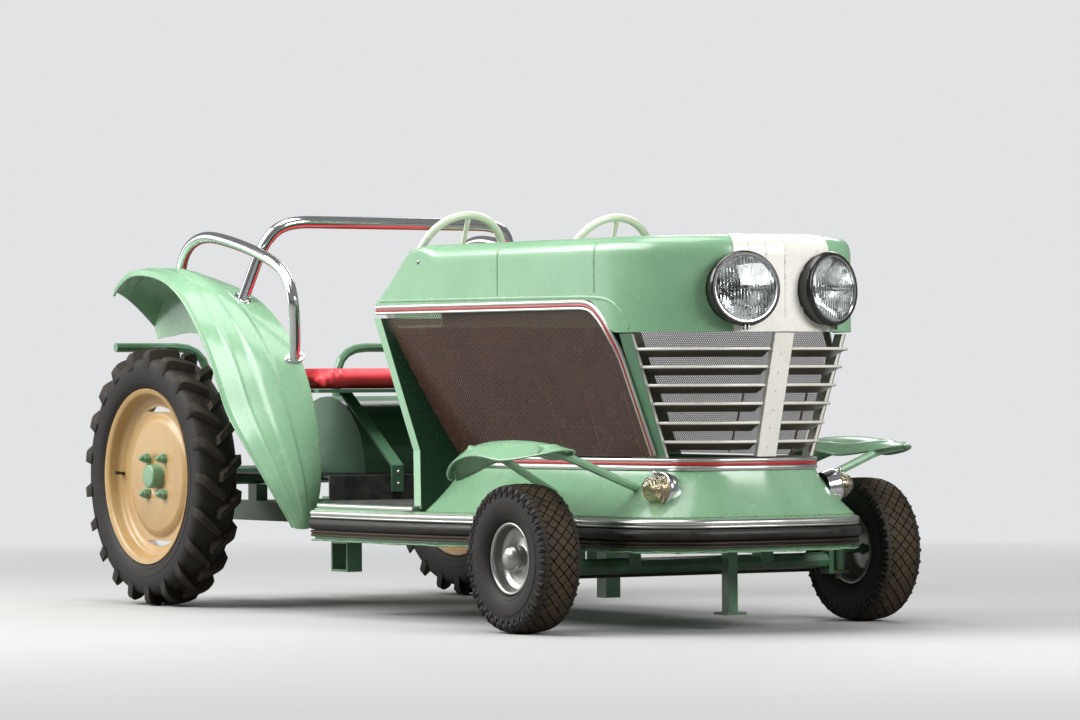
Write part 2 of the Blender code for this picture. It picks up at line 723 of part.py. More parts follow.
def make_cockpit():
    """Firewall, dash with its tray, floor, rear deck, drive cover, step trims and seat."""
    rings = []
    for z, half in ((FIREWALL_FOOT[1] + 0.0025, 0.379), (0.371, 0.340), (FIREWALL_TOP, 0.340)):
        rear = firewall_rear(z)
        front = rear + FIREWALL_T
        rings.append([(rear, -half, z), (rear, half, z), (front, half, z), (front, -half, z)])
    loft("firewall", rings, "green_paint")
    face = DASH_X - 0.005
    right = [(-0.286, 0.8155), (-0.318, 0.778), (-0.318, 0.690), (-0.304, 0.672), (-0.304, TRAY_Z)]
    outline = right + [(-y, z) for y, z in reversed(right)]
    dash = loft("dash_plate", [[(x, y, z) for y, z in outline] for x in (face, DASH_X)], None)
    tray_rear = firewall_rear(TRAY_Z) + FIREWALL_T + 0.001
    tray = box("tray", (tray_rear, -0.304, TRAY_Z), (face + 0.002, 0.304, TRAY_Z + 0.005), None)
    painted(joined("dash_tray", [dash, tray]), "green_paint")
    floor = FLOOR_Z - 0.005
    box("floor_pan", (DECK_FRONT + 0.001, -0.360, floor - 0.005), (-0.530, 0.360, floor), "green_paint")
    box("floor_mat", (DECK_FRONT + 0.010, -0.350, FLOOR_Z - 0.0046), (-0.540, 0.350, FLOOR_Z), "grey_mat")
    deck = [
        (DECK_FRONT, FLOOR_Z - 0.002), (DECK_FRONT, DECK_Z), (DECK_REAR, DECK_Z),
        (DECK_REAR, DECK_Z - 0.005), (DECK_FRONT - 0.005, DECK_Z - 0.005),
        (DECK_FRONT - 0.005, FLOOR_Z - 0.002),
    ]
    profile_plate("rear_deck", deck, -0.325, 0.325, "green_paint")
    for word, side in SIDES:
        y = sorted((side * 0.3625, side * 0.3835))
        box(f"step_moulding_{word}", (-0.944, y[0], 0.2405), (-0.532, y[1], 0.2500), "chrome", 0.002)
    turns = [math.pi * k / 18 for k in range(19)]
    drum = [(DRUM_X + DRUM_R * math.cos(a), DECK_Z + 0.0005 + DRUM_R * math.sin(a)) for a in turns]
    profile_plate("drive_cover", drum, -0.100, 0.100, "green_paint")
    low, high = (SEAT_X[0], -SEAT_HALF, SEAT_Z[0]), (SEAT_X[1], SEAT_HALF, SEAT_Z[1])
    box("seat_cushion", low, high, "red_vinyl", 0.016)
    low = (SEAT_X[0] + 0.005, -SEAT_HALF, SEAT_Z[0] - 0.0085)
    high = (SEAT_X[1] - 0.005, SEAT_HALF, SEAT_Z[0] - 0.0005)
    pieces = [box("seat_board", low, high, None)]
    foot = DECK_FRONT + 0.0005
    bar = [
        (-1.221, SEAT_Z[0] - 0.006), (foot, 0.329), (foot, 0.272),
        (foot + 0.006, 0.272), (foot + 0.006, 0.3325), (-1.2105, SEAT_Z[0] - 0.006),
    ]
    for side in (-1.0, 1.0):
        middle = side * 0.150
        pieces.append(profile_plate(f"seat_strut_{int(side)}", bar, middle - 0.015, middle + 0.015, None))
    painted(joined("seat_frame", pieces), "green_paint")


def make_steering_wheels():
    """Three-spoke wheels on short columns, each with a collar on the dash."""
    up = Vector((math.sin(WHEEL_TILT), 0.0, math.cos(WHEEL_TILT)))
    across = Vector((0.0, 1.0, 0.0))
    down_column = Vector((math.cos(WHEEL_TILT), 0.0, -math.sin(WHEEL_TILT)))
    ring_r = WHEEL_R - WHEEL_TUBE
    turns = np.linspace(0, 2 * math.pi, 9)[:-1]
    circle = [(ring_r + WHEEL_TUBE * math.cos(a), -WHEEL_TUBE * math.sin(a)) for a in turns]
    hub = [
        (0.0, 0.014), (0.016, 0.012), (0.022, 0.004), (0.022, -0.010), (0.0085, -0.014),
        (0.0085, -0.096), (0.0, -0.096),
    ]
    collar = [(0.0105, -0.060), (0.017, -0.060), (0.020, -0.070), (0.020, -0.130), (0.0105, -0.130)]
    for word, side in SIDES:
        top = Vector((WHEEL_TOP[0], side * WHEEL_TOP[1], WHEEL_TOP[2]))
        centre = top - up * WHEEL_R
        stand = along(centre, -down_column)
        pieces = [as_mesh(turned(f"wheel_rim_{word}", circle, None, stand, 28, ring=True))]
        pieces.append(as_mesh(turned(f"wheel_hub_{word}", hub, None, stand, 16)))
        for k in range(3):
            a = 2 * math.pi * k / 3
            reach = up * math.cos(a) + across * math.sin(a)
            path = [tuple(centre + reach * 0.010), tuple(centre + reach * ring_r)]
            pieces.append(tube(f"spoke_{word}_{k}", path, 0.0062, None))
        painted(joined(f"steering_wheel_{word}", pieces), "ivory_paint")
        collar_body = as_mesh(turned(f"column_collar_{word}", collar, None, stand, 16, ring=True))
        low, high = (DASH_X - 0.0055, -0.5, 0.6), (-0.35, 0.5, 0.85)
        beyond = box(f"beyond_dash_{word}", low, high, None, cutter=True)
        painted(cut(collar_body, [beyond]), "green_paint")


# Rear fenders, hoops and rail

# Angles about the rear axle of the outer and inner edge, radius and half width of the outer edge,
# the same of the crown's inner edge, and radius of the inner wall's lower edge.
FENDER_STATIONS = (
    (112, 121, 0.473, 0.460, 0.415, 0.330, 0.378),
    (105, 110, 0.478, 0.470, 0.452, 0.330, 0.352),
    (97, 98, 0.485, 0.476, 0.456, 0.330, 0.340),
    (86, 86, 0.483, 0.480, 0.460, 0.330, 0.333),
    (75, 75, 0.480, 0.480, 0.470, 0.330, 0.330),
    (64, 64, 0.470, 0.480, 0.485, 0.330, 0.325),
    (53, 53, 0.452, 0.478, 0.507, 0.330, 0.322),
    (42, 42, 0.440, 0.475, 0.530, 0.330, 0.324),
    (31, 31, 0.434, 0.474, 0.556, 0.330, 0.332),
    (20, 20, 0.440, 0.470, 0.570, 0.330, 0.348),
    (9, 9, 0.480, 0.458, 0.576, 0.330, 0.380),
    (-2, -2, 0.537, 0.432, 0.577, 0.331, 0.430),
    (-11, -11, 0.583, 0.393, 0.566, 0.345, 0.500),
)
FENDER_BULGE = 0.014
FENDER_ROWS = 20
HOOP_Y = 0.376


def curve_through(table, count):
    """Evenly spaced samples of a smooth curve through the rows of a table."""
    table = np.array(table, float)
    ends = np.vstack([2 * table[0] - table[1], table, 2 * table[-1] - table[-2]])
    places = np.linspace(0, len(table) - 1, count)
    at = np.minimum(places.astype(int), len(table) - 2)
    f = (places - at)[:, None]
    a, b, c, d = (ends[at + k] for k in range(4))
    return b + 0.5 * f * (c - a + f * (2 * a - 5 * b + 4 * c - d + f * (3 * (b - c) + d - a)))


def fender_grid(side, grow):
    """Fender skin: stations by points, outer lip over the crown and down the inner wall."""
    grid = []
    for out_deg, in_deg, r_out, w_out, r_in, w_in, r_wall in curve_through(FENDER_STATIONS, FENDER_ROWS):
        ring = [(0.0, r_out - 0.012, w_out + 0.0015 + grow)]
        for k in range(6):
            f = k / 5
            r = r_out + (r_in - r_out) * f + FENDER_BULGE * 4 * f * (1 - f)
            ring.append((f, r + grow, w_out + (w_in - w_out) * f + grow * (1 - 2 * f)))
        ring.append((1.0, (r_in + r_wall) / 2, w_in - grow))
        ring.append((1.0, r_wall, w_in - grow))
        line = []
        for f, r, w in ring:
            a = math.radians(out_deg + (in_deg - out_deg) * f)
            line.append((REAR_X + r * math.cos(a), side * w, REAR_R + r * math.sin(a)))
        grid.append(line)
    return np.array(grid)


def make_fenders():
    """Rear fenders with an inner wall, grab hoops, and the rail across the back."""
    hoop = [
        (-1.054, 0.530), (-1.050, 0.690), (-1.083, 0.765), (-1.165, 0.806), (-1.330, 0.846),
        (-1.480, 0.868), (-1.570, 0.835), (-1.601, 0.760), (-1.604, 0.670),
    ]
    arch = [
        (-1.316, 0.368, 0.700), (-1.262, 0.334, 0.852), (-1.240, 0.288, 0.893),
        (-1.240, -0.288, 0.893), (-1.262, -0.334, 0.852), (-1.316, -0.368, 0.700),
    ]
    rail = as_mesh(tube("backrest_rail", bent(arch, 0.06, 4), 0.0135, None))
    for word, side in SIDES:
        skin(f"rear_fender_{word}", fender_grid(side, 0.0), fender_grid(side, -SHEET), "green_paint")
        route = bent([(x, side * HOOP_Y, z) for x, z in hoop], 0.10, 2)
        pipe = as_mesh(tube(f"grab_hoop_{word}", route, 0.0125, None))
        outside, inside = fender_grid(side, 0.0005), fender_grid(side, -0.040)
        mask = skin(f"hoop_mask_{word}", outside, inside, None, cutter=True)
        cut_and_keep(pipe, mask, 0.80, "chrome")
        mask = skin(f"rail_mask_{word}", outside, inside, None, cutter=True)
        rail = cut_and_keep(rail, mask, 0.85, "chrome")


def islands_of(shape):
    """Groups of vertices that edges join."""
    seen, groups = set(), []
    for first in shape.verts:
        if first in seen:
            continue
        seen.add(first)
        group, stack = [], [first]
        while stack:
            vertex = stack.pop()
            group.append(vertex)
            fresh = [e.other_vert(vertex) for e in vertex.link_edges if e.other_vert(vertex) not in seen]
            seen.update(fresh)
            stack.extend(fresh)
        groups.append(group)
    return groups


def cut_and_keep(target, cutter, height, finish):
    """Cut a body and keep only the piece that reaches above a height."""
    target = cut(target, [cutter])
    shape = bmesh.new()
    shape.from_mesh(target.data)
    for group in islands_of(shape):
        if max(v.co.z for v in group) < height:
            bmesh.ops.delete(shape, geom=group, context="VERTS")
    shape.to_mesh(target.data)
    shape.free()
    return painted(target, finish)


# Chassis, axles and knuckles


def make_chassis():
    """Two rails with cross members, fender stays, side sockets and two centre posts."""
    pieces = []
    for side in (-1.0, 1.0):
        low, high = sorted((side * 0.150, side * 0.190))
        pieces.append(box(f"rail_{int(side)}", (-1.840, low, 0.1950), (0.160, high, 0.2415), None))
    for number, (x, half) in enumerate(CROSS_MEMBERS):
        pieces.append(box(f"cross_{number}", (x - 0.018, -half, 0.2000), (x + 0.018, half, 0.2370), None))
    for side in (-1.0, 1.0):
        s = int(side)
        stay = [(-1.820, side * 0.180, 0.220), (-1.820, side * 0.180, 0.607), (-1.820, side * 0.430, 0.607)]
        pieces.append(tube(f"stay_{s}", bent(stay, 0.085, 5), 0.0110, None))
        y = sorted((side * 0.302, side * 0.340))
        outer = box(f"socket_{s}", (-0.955, y[0], 0.097), (-0.883, y[1], 0.2050), None)
        low, high = (-0.950, y[0] - 0.01, 0.102), (-0.888, y[1] + 0.01, 0.160)
        pieces.append(cut(outer, [box(f"socket_hole_{s}", low, high, None, cutter=True)]))
        y = sorted((side * 0.155, side * 0.185))
        low, high = (REAR_X - 0.020, y[0], 0.240), (REAR_X + 0.020, y[1], REAR_R - 0.0225)
        pieces.append(box(f"axle_seat_{s}", low, high, None))
    pieces.append(box("middle_post", (-0.3585, -0.0185, 0.050), (-0.3215, 0.0185, 0.210), None))
    pieces.append(box("nose_post", (0.108, -0.012, 0.034), (0.132, 0.012, 0.210), None))
    pieces.append(box("post_foot", (0.095, -0.025, 0.030), (0.145, 0.025, 0.036), None))
    painted(joined("chassis", pieces), "green_paint")


def make_axles():
    """Rear axle with its stubs, front tube with a yoke and kingpin at each end, knuckles, tie rod."""
    parts = [tube("rear_tube", [(REAR_X, -0.345, REAR_R), (REAR_X, 0.345, REAR_R)], 0.0220, None)]
    parts.append(tube("rear_stubs", [(REAR_X, -0.462, REAR_R), (REAR_X, 0.462, REAR_R)], 0.0140, None))
    painted(joined("rear_axle", parts), "green_paint")
    parts = [tube("front_tube", [(0.0, -0.340, FRONT_TUBE_Z), (0.0, 0.340, FRONT_TUBE_Z)], 0.0170, None)]
    for side in (-1.0, 1.0):
        s = int(side)
        blocks = (
            ("hanger", 0.018, 0.155, 0.185, FRONT_TUBE_Z, 0.1946),
            ("yoke_back", 0.016, 0.334, 0.346, 0.104, 0.188),
            ("yoke_low", 0.015, 0.340, 0.388, 0.104, 0.110),
            ("yoke_top", 0.015, 0.340, 0.388, 0.182, 0.188),
        )
        for name, half, near, far, low, high in blocks:
            y = sorted((side * near, side * far))
            parts.append(box(f"{name}_{s}", (-half, y[0], low), (half, y[1], high), None))
        pin = [(0.0, side * KINGPIN_Y, 0.092), (0.0, side * KINGPIN_Y, 0.196)]
        parts.append(tube(f"kingpin_{s}", pin, 0.0060, None))
    painted(joined("front_axle", parts), "green_paint")
    sleeve_ring = [(0.0072, 0.0695), (0.0135, 0.0695), (0.0135, 0.0005), (0.0072, 0.0005)]
    eye_ring = [(0.0047, 0.0045), (0.0095, 0.0045), (0.0095, -0.0045), (0.0047, -0.0045)]
    ends = []
    for word, side in SIDES:
        y = side * KINGPIN_Y
        stand = Matrix.Translation((0.0, y, 0.1110))
        sleeve = as_mesh(turned(f"sleeve_{word}", sleeve_ring, None, stand, 20, ring=True))
        stub = [(0.0, y + side * 0.0105, FRONT_R), (0.0, side * 0.462, FRONT_R)]
        arm = [(-0.0105, y, ARM_Z), (ARM_X, y, ARM_Z)]
        eye = [(ARM_X, y, ARM_Z - 0.007), (ARM_X, y, ARM_Z + 0.007)]
        pin = [(ARM_X, y, ARM_Z - 0.020), (ARM_X, y, ARM_Z)]
        lengths = [(stub, 0.0090), (arm, 0.0055), (eye, 0.0090), (pin, 0.0035)]
        rods = [tube(f"knuckle_rod_{word}_{k}", path, r, None) for k, (path, r) in enumerate(lengths)]
        painted(joined(f"knuckle_{word}", [sleeve, *rods]), "green_paint")
        stand = Matrix.Translation((ARM_X, y, ROD_Z))
        ends.append(as_mesh(turned(f"rod_eye_{word}", eye_ring, None, stand, 16, ring=True)))
    reach = KINGPIN_Y - 0.0070
    rod = tube("rod_bar", [(ARM_X, -reach, ROD_Z), (ARM_X, reach, ROD_Z)], 0.0042, None)
    painted(joined("tie_rod", [rod, *ends]), "black_enamel")


# Wheels


def make_wheels():
    """Two lug-tyred rear wheels and two small front wheels."""
    rear_tyre = [
        (0.2090, 0.044), (0.230, 0.054), (0.262, 0.056), (0.285, 0.052), (REAR_R, 0.046), (REAR_R, -0.046),
        (0.285, -0.052), (0.262, -0.056), (0.230, -0.054), (0.2090, -0.044), (0.2078, -0.0385),
        (0.1985, -0.0385), (0.1985, 0.0385), (0.2078, 0.0385),
    ]
    rear_rim = [
        (0.2065, 0.0455), (0.2065, 0.0395), (0.1970, 0.0390), (0.1970, -0.0390), (0.2065, -0.0395),
        (0.2065, -0.0455), (0.1930, -0.0440), (0.1880, 0.0060), (0.1400, 0.0010), (0.1280, 0.0120),
        (0.0600, 0.0120), (0.0400, 0.0060), (0.0150, 0.0060), (0.0150, 0.0100), (0.0400, 0.0100),
        (0.0600, 0.0165), (0.1300, 0.0165), (0.1420, 0.0055), (0.1700, 0.0080), (0.1900, 0.0160),
        (0.1930, 0.0400),
    ]
    rear_hub = [(0.0150, 0.040), (0.026, 0.040), (0.028, 0.036), (0.028, 0.0106), (0.0150, 0.0106)]
    front_tyre = [
        (0.0775, 0.034), (0.090, 0.042), (0.115, 0.0475), (0.135, 0.0470), (0.150, 0.041), (FRONT_R, 0.028),
        (FRONT_R, -0.028), (0.150, -0.041), (0.135, -0.0470), (0.115, -0.0475), (0.090, -0.042),
        (0.0775, -0.034), (0.0762, -0.0287), (0.0690, -0.0285), (0.0690, 0.0285), (0.0762, 0.0287),
    ]
    front_rim = [
        (0.0, 0.0460), (0.0120, 0.0450), (0.0230, 0.0400), (0.0290, 0.0310), (0.0290, 0.0240),
        (0.0260, 0.0220), (0.0260, 0.0060), (0.0420, 0.0040), (0.0650, 0.0120), (0.0680, 0.0345),
        (0.0755, 0.0345), (0.0755, 0.0295),
        (0.0685, 0.0290), (0.0685, -0.0290), (0.0755, -0.0295), (0.0755, -0.0345), (0.0650, -0.0330),
        (0.0640, 0.0050), (0.0420, 0.0000), (0.0105, 0.0000), (0.0105, 0.0300), (0.0, 0.0300),
    ]
    for word, side in SIDES:
        stand = along((REAR_X, side * REAR_Y, REAR_R), (0.0, side, 0.0))
        turned(f"rear_tyre_{word}", rear_tyre, "tyre_rubber", stand, 40, ring=True)
        disc = as_mesh(turned(f"rear_rim_{word}", rear_rim, None, stand, 32, ring=True))
        slots = []
        for k in (0, 1):
            a = math.pi / 2 + math.pi * k
            spot = stand @ Vector((0.160 * math.cos(a), 0.160 * math.sin(a), 0.0))
            hole = [(0.0, 0.05), (0.010, 0.05), (0.010, -0.05), (0.0, -0.05)]
            across = along(spot, (0.0, side, 0.0))
            slots.append(turned(f"slot_{word}_{k}", hole, None, across, 12, cutter=True))
        painted(cut(disc, slots), "cream_paint")
        turned(f"rear_hub_{word}", rear_hub, "green_paint", stand, 20, ring=True)
        stand = along((0.0, side * FRONT_Y, FRONT_R), (0.0, side, 0.0))
        turned(f"front_tyre_{word}", front_tyre, "tyre_rubber", stand, 36, ring=True)
        turned(f"front_rim_{word}", front_rim, "steel", stand, 24)


# Front mudguards


def mudguard_point(u, v):
    """Crown of a mudguard: u from -1 at the rear to 1 at the tip, v from -1 inside to 1 outside."""
    x = GUARD_X + GUARD_HALF * u
    half = 0.068 * math.sqrt(max(0.02, 1.0 - abs(u) ** 3.0))
    z = 0.399 - 0.423 * (x + 0.038) ** 2 - 0.45 * min(0.0, x + 0.100) ** 2 - 0.022 * v * v
    return x, 0.430 + half * v, z


def make_mudguards():
    """Crowned front mudguards, each on a front arm and a rear strut from the apron."""
    us = (-1.0, -0.97, -0.9, -0.75, -0.5, -0.25, 0.0, 0.25, 0.5, 0.75, 0.9, 0.97, 1.0)
    vs = np.linspace(-1.0, 1.0, 7)
    for word, side in SIDES:
        outer = np.array([[(x, side * y, z) for x, y, z in (mudguard_point(u, v) for v in vs)] for u in us])
        sheet = skin(f"guard_sheet_{word}", outer, outer - np.array([0.0, 0.0, SHEET]), None)
        arms = []
        for number, (x, base_y, base_z) in enumerate(((0.105, 0.215, 0.298), (-0.155, 0.245, 0.285))):
            head = mudguard_point((x - GUARD_X) / GUARD_HALF, 0.0)[2] - 0.0105
            path = [(x, side * base_y, base_z), (x, side * 0.425, head)]
            arms.append(tube(f"arm_{word}_{number}", path, 0.0090, None))
        guard = joined(f"mudguard_{word}", [sheet, *arms])
        core = loft(f"arm_core_{word}", apron_grid(0.0005), None, True)
        cut_and_keep(guard, core, 0.36, "green_paint")


def main():
    """Build the tractor, nose to tail."""
    bonnet = make_bonnet()
    band = make_nose_band()
    make_headlamps(bonnet, band)
    make_grille()
    make_apron()
    make_side_lamps()
    make_side_panels()
    make_cockpit()
    make_steering_wheels()
    make_fenders()
    make_chassis()
    make_axles()
    make_wheels()
    make_mudguards()


main()
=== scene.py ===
"""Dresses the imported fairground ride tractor: finishes, tyres, lamps, trims, upholstery and studio."""

import json
import logging
import math
from dataclasses import dataclass, field
from enum import Enum
from typing import Any, Sequence

import bmesh
import bpy
import numpy as np
from mathutils import Matrix, Vector
from mathutils.bvhtree import BVHTree


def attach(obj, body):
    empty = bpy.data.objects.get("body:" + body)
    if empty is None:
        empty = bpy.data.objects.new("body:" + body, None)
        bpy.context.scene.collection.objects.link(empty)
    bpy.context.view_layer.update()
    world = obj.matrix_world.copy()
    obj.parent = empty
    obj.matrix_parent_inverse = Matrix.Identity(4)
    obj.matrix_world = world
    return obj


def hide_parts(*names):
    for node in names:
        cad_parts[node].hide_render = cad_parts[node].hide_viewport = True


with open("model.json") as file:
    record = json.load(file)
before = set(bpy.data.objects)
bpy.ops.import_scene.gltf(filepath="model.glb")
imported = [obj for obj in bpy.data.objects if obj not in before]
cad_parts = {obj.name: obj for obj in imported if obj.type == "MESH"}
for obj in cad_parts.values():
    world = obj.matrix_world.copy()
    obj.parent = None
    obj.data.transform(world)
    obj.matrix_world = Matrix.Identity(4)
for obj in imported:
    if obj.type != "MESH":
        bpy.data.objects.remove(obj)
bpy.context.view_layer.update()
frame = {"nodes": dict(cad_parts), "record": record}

LOG = logging.getLogger("tractor")

# Stations along x are measured from the front axle, as in the part's source.
FRONT_AXLE_X = 0.7678
SHIFT = np.array([FRONT_AXLE_X, 0.0, 0.0])
REAR_AXLE = np.array([-1.593, 0.0, 0.303])
REAR_TYRE_Y = 0.4265
FRONT_TYRE_Y, FRONT_TYRE_Z = 0.435, 0.155
ARC_X = 0.117
BELT_W, BELT_R, BELT_TAPER = 0.195, 0.13, 0.083
SILL_W, SILL_R, SILL_SPREAD, SILL_RUN = 0.285, 0.17, 0.1, 0.72
HOOP_Y = 0.376
SHARP_ANGLE = math.radians(38.0)
BACKGROUND = "#E2E3E4"
AHEAD, UP = np.array([1.0, 0.0, 0.0]), np.array([0.0, 0.0, 1.0])

Floats = np.ndarray


class Side(Enum):
    """The two sides of the vehicle, with the sign of y on each."""

    RIGHT = -1.0
    LEFT = 1.0

    @property
    def word(self) -> str:
        """Lower-case name used in node names."""
        return self.name.lower()

    @property
    def out(self) -> Floats:
        """Unit direction out of this side."""
        return np.array([0.0, self.value, 0.0])

    @property
    def front_hub(self) -> Floats:
        """Middle of the front wheel."""
        return np.array([0.0, self.value * FRONT_TYRE_Y, FRONT_TYRE_Z])

    @property
    def rear_hub(self) -> Floats:
        """Middle of the rear wheel."""
        return REAR_AXLE + self.out * REAR_TYRE_Y


# Surfaces


def lattice(rows: int, cols: int, wrap_rows: bool = False, wrap_cols: bool = False) -> Floats:
    """Corner numbers of the quads of a grid.

    Args:
        rows: number of rows of points.
        cols: number of columns of points.
        wrap_rows: join the last row to the first.
        wrap_cols: join the last column to the first.

    Returns:
        Array of shape (quads, 4).
    """
    r = np.arange(rows if wrap_rows else rows - 1)
    c = np.arange(cols if wrap_cols else cols - 1)
    a, b = np.meshgrid(r, c, indexing="ij")
    a2, b2 = (a + 1) % rows, (b + 1) % cols
    quads = np.stack([a * cols + b, a2 * cols + b, a2 * cols + b2, a * cols + b2], -1)
    return quads.reshape(-1, 4)


def placed(name: str, data: bpy.types.ID) -> bpy.types.Object:
    """New object of some data, in the scene."""
    obj = bpy.data.objects.new(name, data)
    bpy.context.scene.collection.objects.link(obj)
    return obj


@dataclass
class Shape:
    """Collects surfaces in station coordinates and turns them into one piece."""

    points: list[Floats] = field(default_factory=list)
    faces: list[list[int]] = field(default_factory=list)
    total: int = 0

    def grid(self, grid: Floats, wrap_rows: bool = False, wrap_cols: bool = False) -> "Shape":
        """Add a surface given as an array (rows, columns, 3).

        Args:
            grid: the points.
            wrap_rows: join the last row to the first.
            wrap_cols: join the last column to the first.

        Returns:
            This shape.
        """
        rows, cols = grid.shape[:2]
        self.faces += (lattice(rows, cols, wrap_rows, wrap_cols) + self.total).tolist()
        self.points.append(grid.reshape(-1, 3))
        self.total += rows * cols
        return self

    def solid(self, grid: Floats) -> "Shape":
        """Add a bar: rows of closed rings, with both end rings filled.

        Args:
            grid: array (rows, ring points, 3).

        Returns:
            This shape.
        """
        rows, cols = grid.shape[:2]
        start = self.total
        self.grid(grid, wrap_cols=True)
        self.faces.append([start + k for k in range(cols)])
        self.faces.append([start + (rows - 1) * cols + k for k in reversed(range(cols))])
        return self

    def copies(self, points: Floats, faces: Floats) -> "Shape":
        """Add many copies of one small body.

        Args:
            points: array (copies, corners, 3).
            faces: array (faces, 4) of corner numbers of one copy.

        Returns:
            This shape.
        """
        count, corners = points.shape[:2]
        shifts = (np.arange(count) * corners + self.total)[:, None, None]
        self.faces += (faces[None] + shifts).reshape(-1, faces.shape[1]).tolist()
        self.points.append(points.reshape(-1, 3))
        self.total += count * corners
        return self

    def sheet(self, outer: Floats, inner: Floats, keep: Floats | None = None, seam: bool = False) -> "Shape":
        """Add a sheet with thickness: two grids of the same size, joined along every free edge.

        Args:
            outer: points of the outer face (rows, columns, 3).
            inner: points of the inner face, same size.
            keep: which cells exist, (rows - 1, columns - 1), all when absent.
            seam: the last row folds onto itself, so it gets no edge faces.

        Returns:
            This shape.
        """
        rows, cols = outer.shape[:2]
        cells = lattice(rows, cols)
        if keep is not None:
            cells = cells[keep.ravel()]
        count = rows * cols
        edges = np.concatenate([cells[:, [k, (k + 1) % 4]] for k in range(4)])
        ends = np.sort(edges, 1)
        _, first, times = np.unique(ends[:, 0] * count + ends[:, 1], return_index=True, return_counts=True)
        free = edges[first[times == 1]]
        if seam:
            free = free[free.min(1) < (rows - 1) * cols]
        walls = np.stack([free[:, 1], free[:, 0], free[:, 0] + count, free[:, 1] + count], 1)
        faces = np.concatenate([cells, cells[:, ::-1] + count, walls]) + self.total
        self.faces += faces.tolist()
        self.points += [outer.reshape(-1, 3), inner.reshape(-1, 3)]
        self.total += 2 * count
        return self

    def lathe(
        self, profile: Sequence[tuple[float, float]], steps: int, centre: Floats, axis: Floats,
        ring: bool = False,
    ) -> "Shape":
        """Add a surface of revolution, as turned() gives it.

        Args:
            profile: points as (radius, height along the axis).
            steps: divisions round the axis.
            centre: foot of the axis.
            axis: direction of the axis.
            ring: the profile is a loop that doesn't touch the axis.

        Returns:
            This shape.
        """
        return self.grid(turned(profile, steps, centre, axis), wrap_rows=ring, wrap_cols=True)

    def skin(self, outer: Floats, inner: Floats) -> "Shape":
        """Add a sheet as a closed loop of two grids of the same size, with its two ends filled."""
        self.grid(np.concatenate([outer, inner[:, ::-1]], 1), wrap_cols=True)
        return self.grid(np.stack([outer[0], inner[0]])).grid(np.stack([outer[-1], inner[-1]]))

    def mesh(self, name: str) -> bpy.types.Mesh:
        """Mesh of everything added so far: doubles merged, faces outwards, smooth with sharp corners."""
        mesh = bpy.data.meshes.new(name)
        cloud = np.concatenate(self.points) + SHIFT
        mesh.from_pydata(cloud.tolist(), [], self.faces)
        shape = bmesh.new()
        shape.from_mesh(mesh)
        bmesh.ops.remove_doubles(shape, verts=shape.verts, dist=1e-6)
        bmesh.ops.recalc_face_normals(shape, faces=shape.faces)
        shape.to_mesh(mesh)
        shape.free()
        mesh.shade_smooth()
        mesh.set_sharp_from_angle(angle=SHARP_ANGLE)
        return mesh

    def piece(
        self, name: str, slot: str, material: bpy.types.Material, node: str = "", body: str = "tractor_body"
    ) -> bpy.types.Object:
        """Make the object from the mesh and let it ride on a body.

        Args:
            name: the piece's name.
            slot: the record's material slot that it belongs to; not used.
            material: its finish.
            node: the CAD node that it replaces, if any.
            body: the CAD body that carries it.

        Returns:
            The new object.
        """
        mesh = self.mesh(name)
        mesh.materials.append(material)
        obj = placed(name, mesh)
        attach(obj, body)
        if node:
            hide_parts(node)
        LOG.info("piece %s: %d faces on %s", name, len(mesh.polygons), body)
        return obj


def unit(vectors: Floats) -> Floats:
    """Vectors brought to length 1 along the last axis."""
    vectors = np.asarray(vectors, float)
    return vectors / np.linalg.norm(vectors, axis=-1, keepdims=True)


def turned(profile: Sequence[tuple[float, float]], steps: int, centre: Floats, axis: Floats) -> Floats:
    """Surface of revolution: each profile point (radius, height) goes once round the axis.

    Args:
        profile: points as (radius, height along the axis).
        steps: divisions round the axis.
        centre: foot of the axis.
        axis: unit direction of the axis.

    Returns:
        Array (profile points, steps, 3), to be closed over its columns.
    """
    axis = unit(axis)
    first = np.cross(axis, UP if abs(axis[2]) < 0.9 else AHEAD)
    first = unit(first)
    second = np.cross(axis, first)
    turn = np.linspace(0.0, 2.0 * math.pi, steps, endpoint=False)
    ring = np.cos(turn)[:, None] * first + np.sin(turn)[:, None] * second
    rows = np.asarray(profile, float)
    return centre + rows[:, 0, None, None] * ring[None] + rows[:, 1, None, None] * axis


def swept(path: Floats, section: Floats, outwards: Floats) -> Floats:
    """Moulding: a section (outwards, across) carried along a path.

    Args:
        path: points (n, 3).
        section: ring points (k, 2), outwards and across the path.
        outwards: direction out of the surface at each path point, (n, 3) or (3,).

    Returns:
        Array (n, k, 3) of rings.
    """
    path = np.asarray(path, float)
    tangent = np.gradient(path, axis=0)
    tangent = unit(tangent)
    out = np.broadcast_to(np.asarray(outwards, float), path.shape)
    across = np.cross(tangent, out)
    across = unit(across)
    out = np.cross(across, tangent)
    return path[:, None] + section[None, :, :1] * out[:, None] + section[None, :, 1:] * across[:, None]


def on_wheel(radius: Floats, across: Floats, angle: Floats) -> Floats:
    """Points at a radius and angle round a wheel's axle, and a distance across it."""
    return np.stack(np.broadcast_arrays(radius * np.cos(angle), across, radius * np.sin(angle)), -1)


def round_section(radius: float, steps: int) -> Floats:
    """Circular section of a tube or wire."""
    turn = np.linspace(0, 2 * math.pi, steps, endpoint=False)
    return radius * np.stack([np.cos(turn), np.sin(turn)], -1)


